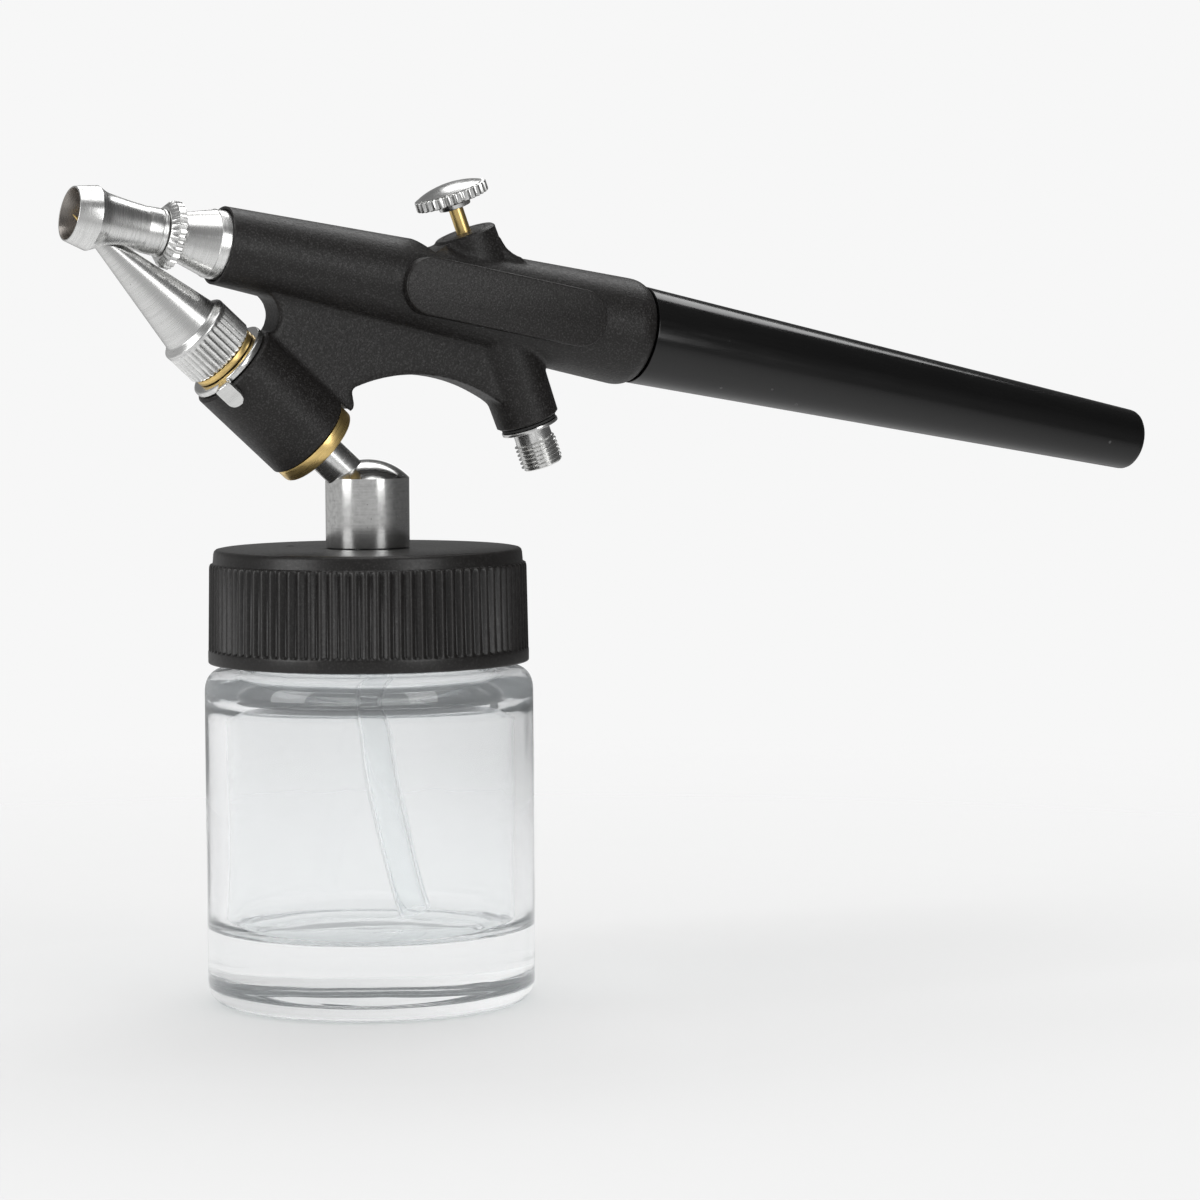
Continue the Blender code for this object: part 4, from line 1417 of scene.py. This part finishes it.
@dataclass
class Studio:
    """Pale floor, soft lights and the camera."""

    lens: float = 132.0
    heading: float = -28.0
    pitch: float = -3.86
    roll: float = -0.35
    camera_at: tuple[float, float, float] = (-0.2144, -0.4602, 0.0805)
    middle: tuple[float, float, float] = (0.02, 0.0, 0.05)
    floor_r: float = 1.0
    floor_white: float = 0.58
    sky_white: float = 0.93
    boxes: tuple[Softbox, ...] = (
        Softbox("left_box", -55.0, 0.75, 0.26, 0.36, 0.50, 3.6),
        Softbox("right_box", 39.0, 0.75, 0.26, 0.28, 0.50, 3.6),
        Softbox("top_box", 20.0, 0.05, 0.85, 0.55, 0.70, 1.9),
        Softbox("rim_box", 170.0, 0.45, 0.60, 0.60, 0.25, 3.2),
    )

    def floor(self) -> None:
        """A wide pale disc under the jar."""
        bpy.ops.object.select_all(action="DESELECT")
        bpy.ops.mesh.primitive_circle_add(vertices=96, radius=self.floor_r, fill_type="NGON")
        floor = bpy.context.object
        floor.name = "studio_floor"
        material = bpy.data.materials.new("studio_floor")
        material.use_nodes = True
        shader = material.node_tree.nodes["Principled BSDF"]
        shader.inputs["Base Color"].default_value = (self.floor_white,) * 3 + (1.0,)
        shader.inputs["Roughness"].default_value = 0.9
        shader.inputs["Specular IOR Level"].default_value = 0.1
        nodes = Nodes(material.node_tree)
        place = nodes.add("ShaderNodeTexCoord").outputs["Object"]
        away = nodes.add("ShaderNodeVectorMath", {0: place}, operation="LENGTH")
        fade = nodes.spread(away.outputs["Value"], 0.06, 0.30)
        beyond = nodes.add("ShaderNodeBsdfTransparent")
        both = nodes.add("ShaderNodeMixShader", {0: fade, 1: shader.outputs[0],
                                                 2: beyond.outputs[0]})
        nodes.feed(nodes.tree.nodes["Material Output"], {"Surface": both.outputs[0]})
        floor.data.materials.append(material)

    def toward(self, right_of_camera: float) -> Vector:
        """A level direction from the gun, counted from the camera's side."""
        turn = math.radians(self.heading + right_of_camera)
        return Vector((math.sin(turn), -math.cos(turn), 0.0))

    def lights(self) -> None:
        """Soft boxes that draw long bright bands on the metal."""
        middle = Vector(self.middle)
        for box in self.boxes:
            place = self.toward(box.right_of_camera) * box.distance + middle
            place.z = box.height
            bpy.ops.object.light_add(type="AREA", location=place)
            lamp = bpy.context.object
            lamp.name = box.name
            lamp.data.shape = "RECTANGLE"
            lamp.data.size, lamp.data.size_y = box.width, box.tall
            lamp.data.energy = math.pi * box.radiance * box.width * box.tall
            lamp.rotation_euler = (place - middle).to_track_quat("Z", "Y").to_euler()
            lamp.visible_camera = False
            lamp.visible_transmission = False

    def sky(self) -> None:
        """White to the eye and through glass, with a darker room for metal to reflect."""
        world = bpy.data.worlds.new("studio")
        bpy.context.scene.world = world
        world.use_nodes = True
        nodes = Nodes(world.node_tree)
        background = world.node_tree.nodes["Background"]
        way = nodes.add("ShaderNodeTexCoord").outputs["Generated"]
        dark_side = self.toward(120.0)
        turned = nodes.add("ShaderNodeVectorMath", {0: way, 1: dark_side},
                           operation="DOT_PRODUCT").outputs["Value"]
        level = nodes.spread(turned, -0.1, 0.8, 0.46, 0.10)
        fade = nodes.spread(nodes.height(way), 0.02, 0.40, 1.0, 0.45)
        room = nodes.math("MULTIPLY", level, fade)
        path = nodes.add("ShaderNodeLightPath")
        clear = nodes.math("SUBTRACT", 1.0, path.outputs["Is Transmission Ray"])
        mirrored = nodes.math("MULTIPLY", path.outputs["Is Glossy Ray"], clear)
        pale = nodes.math("SUBTRACT", 1.0, mirrored)
        tint = nodes.spread(turned, -0.2, 0.95, 0.0, -0.30)
        through = nodes.math("MULTIPLY", path.outputs["Is Transmission Ray"], tint)
        white = nodes.math("ADD", through, self.sky_white)
        strength = nodes.add("ShaderNodeMix", {0: pale, 2: room, 3: white}).outputs[0]
        background.inputs["Color"].default_value = (1.0, 1.0, 1.0, 1.0)
        nodes.feed(background, {"Strength": strength})

    def camera(self) -> None:
        """A long lens that looks a little down on the gun from its nozzle's side."""
        data = bpy.data.cameras.new("camera")
        data.lens = self.lens
        data.sensor_width = 36.0
        data.clip_start = 0.01
        camera = bpy.data.objects.new("camera", data)
        bpy.context.scene.collection.objects.link(camera)
        turn = (Matrix.Rotation(math.radians(self.heading), 4, "Z")
                @ Matrix.Rotation(math.radians(90.0 + self.pitch), 4, "X")
                @ Matrix.Rotation(math.radians(self.roll), 4, "Z"))
        camera.matrix_world = Matrix.Translation(self.camera_at) @ turn
        bpy.context.scene.camera = camera
        bpy.context.scene.view_settings.view_transform = "Standard"

    def build(self) -> None:
        """Set up the whole studio."""
        self.floor()
        self.lights()
        self.sky()
        self.camera()


def main() -> None:
    """Build the studio and then each sub-assembly."""
    logging.basicConfig(level=logging.INFO, format="%(name)s: %(message)s")
    Studio().build()
    for group in (Moulding(), SprayHead(), PaintTip(), Trigger(), Handle(), Siphon(), PaintJar(),
                  Internals()):
        group.build()
        LOG.info("%s is built", type(group).__name__)


if __name__ == "__main__":
    main()
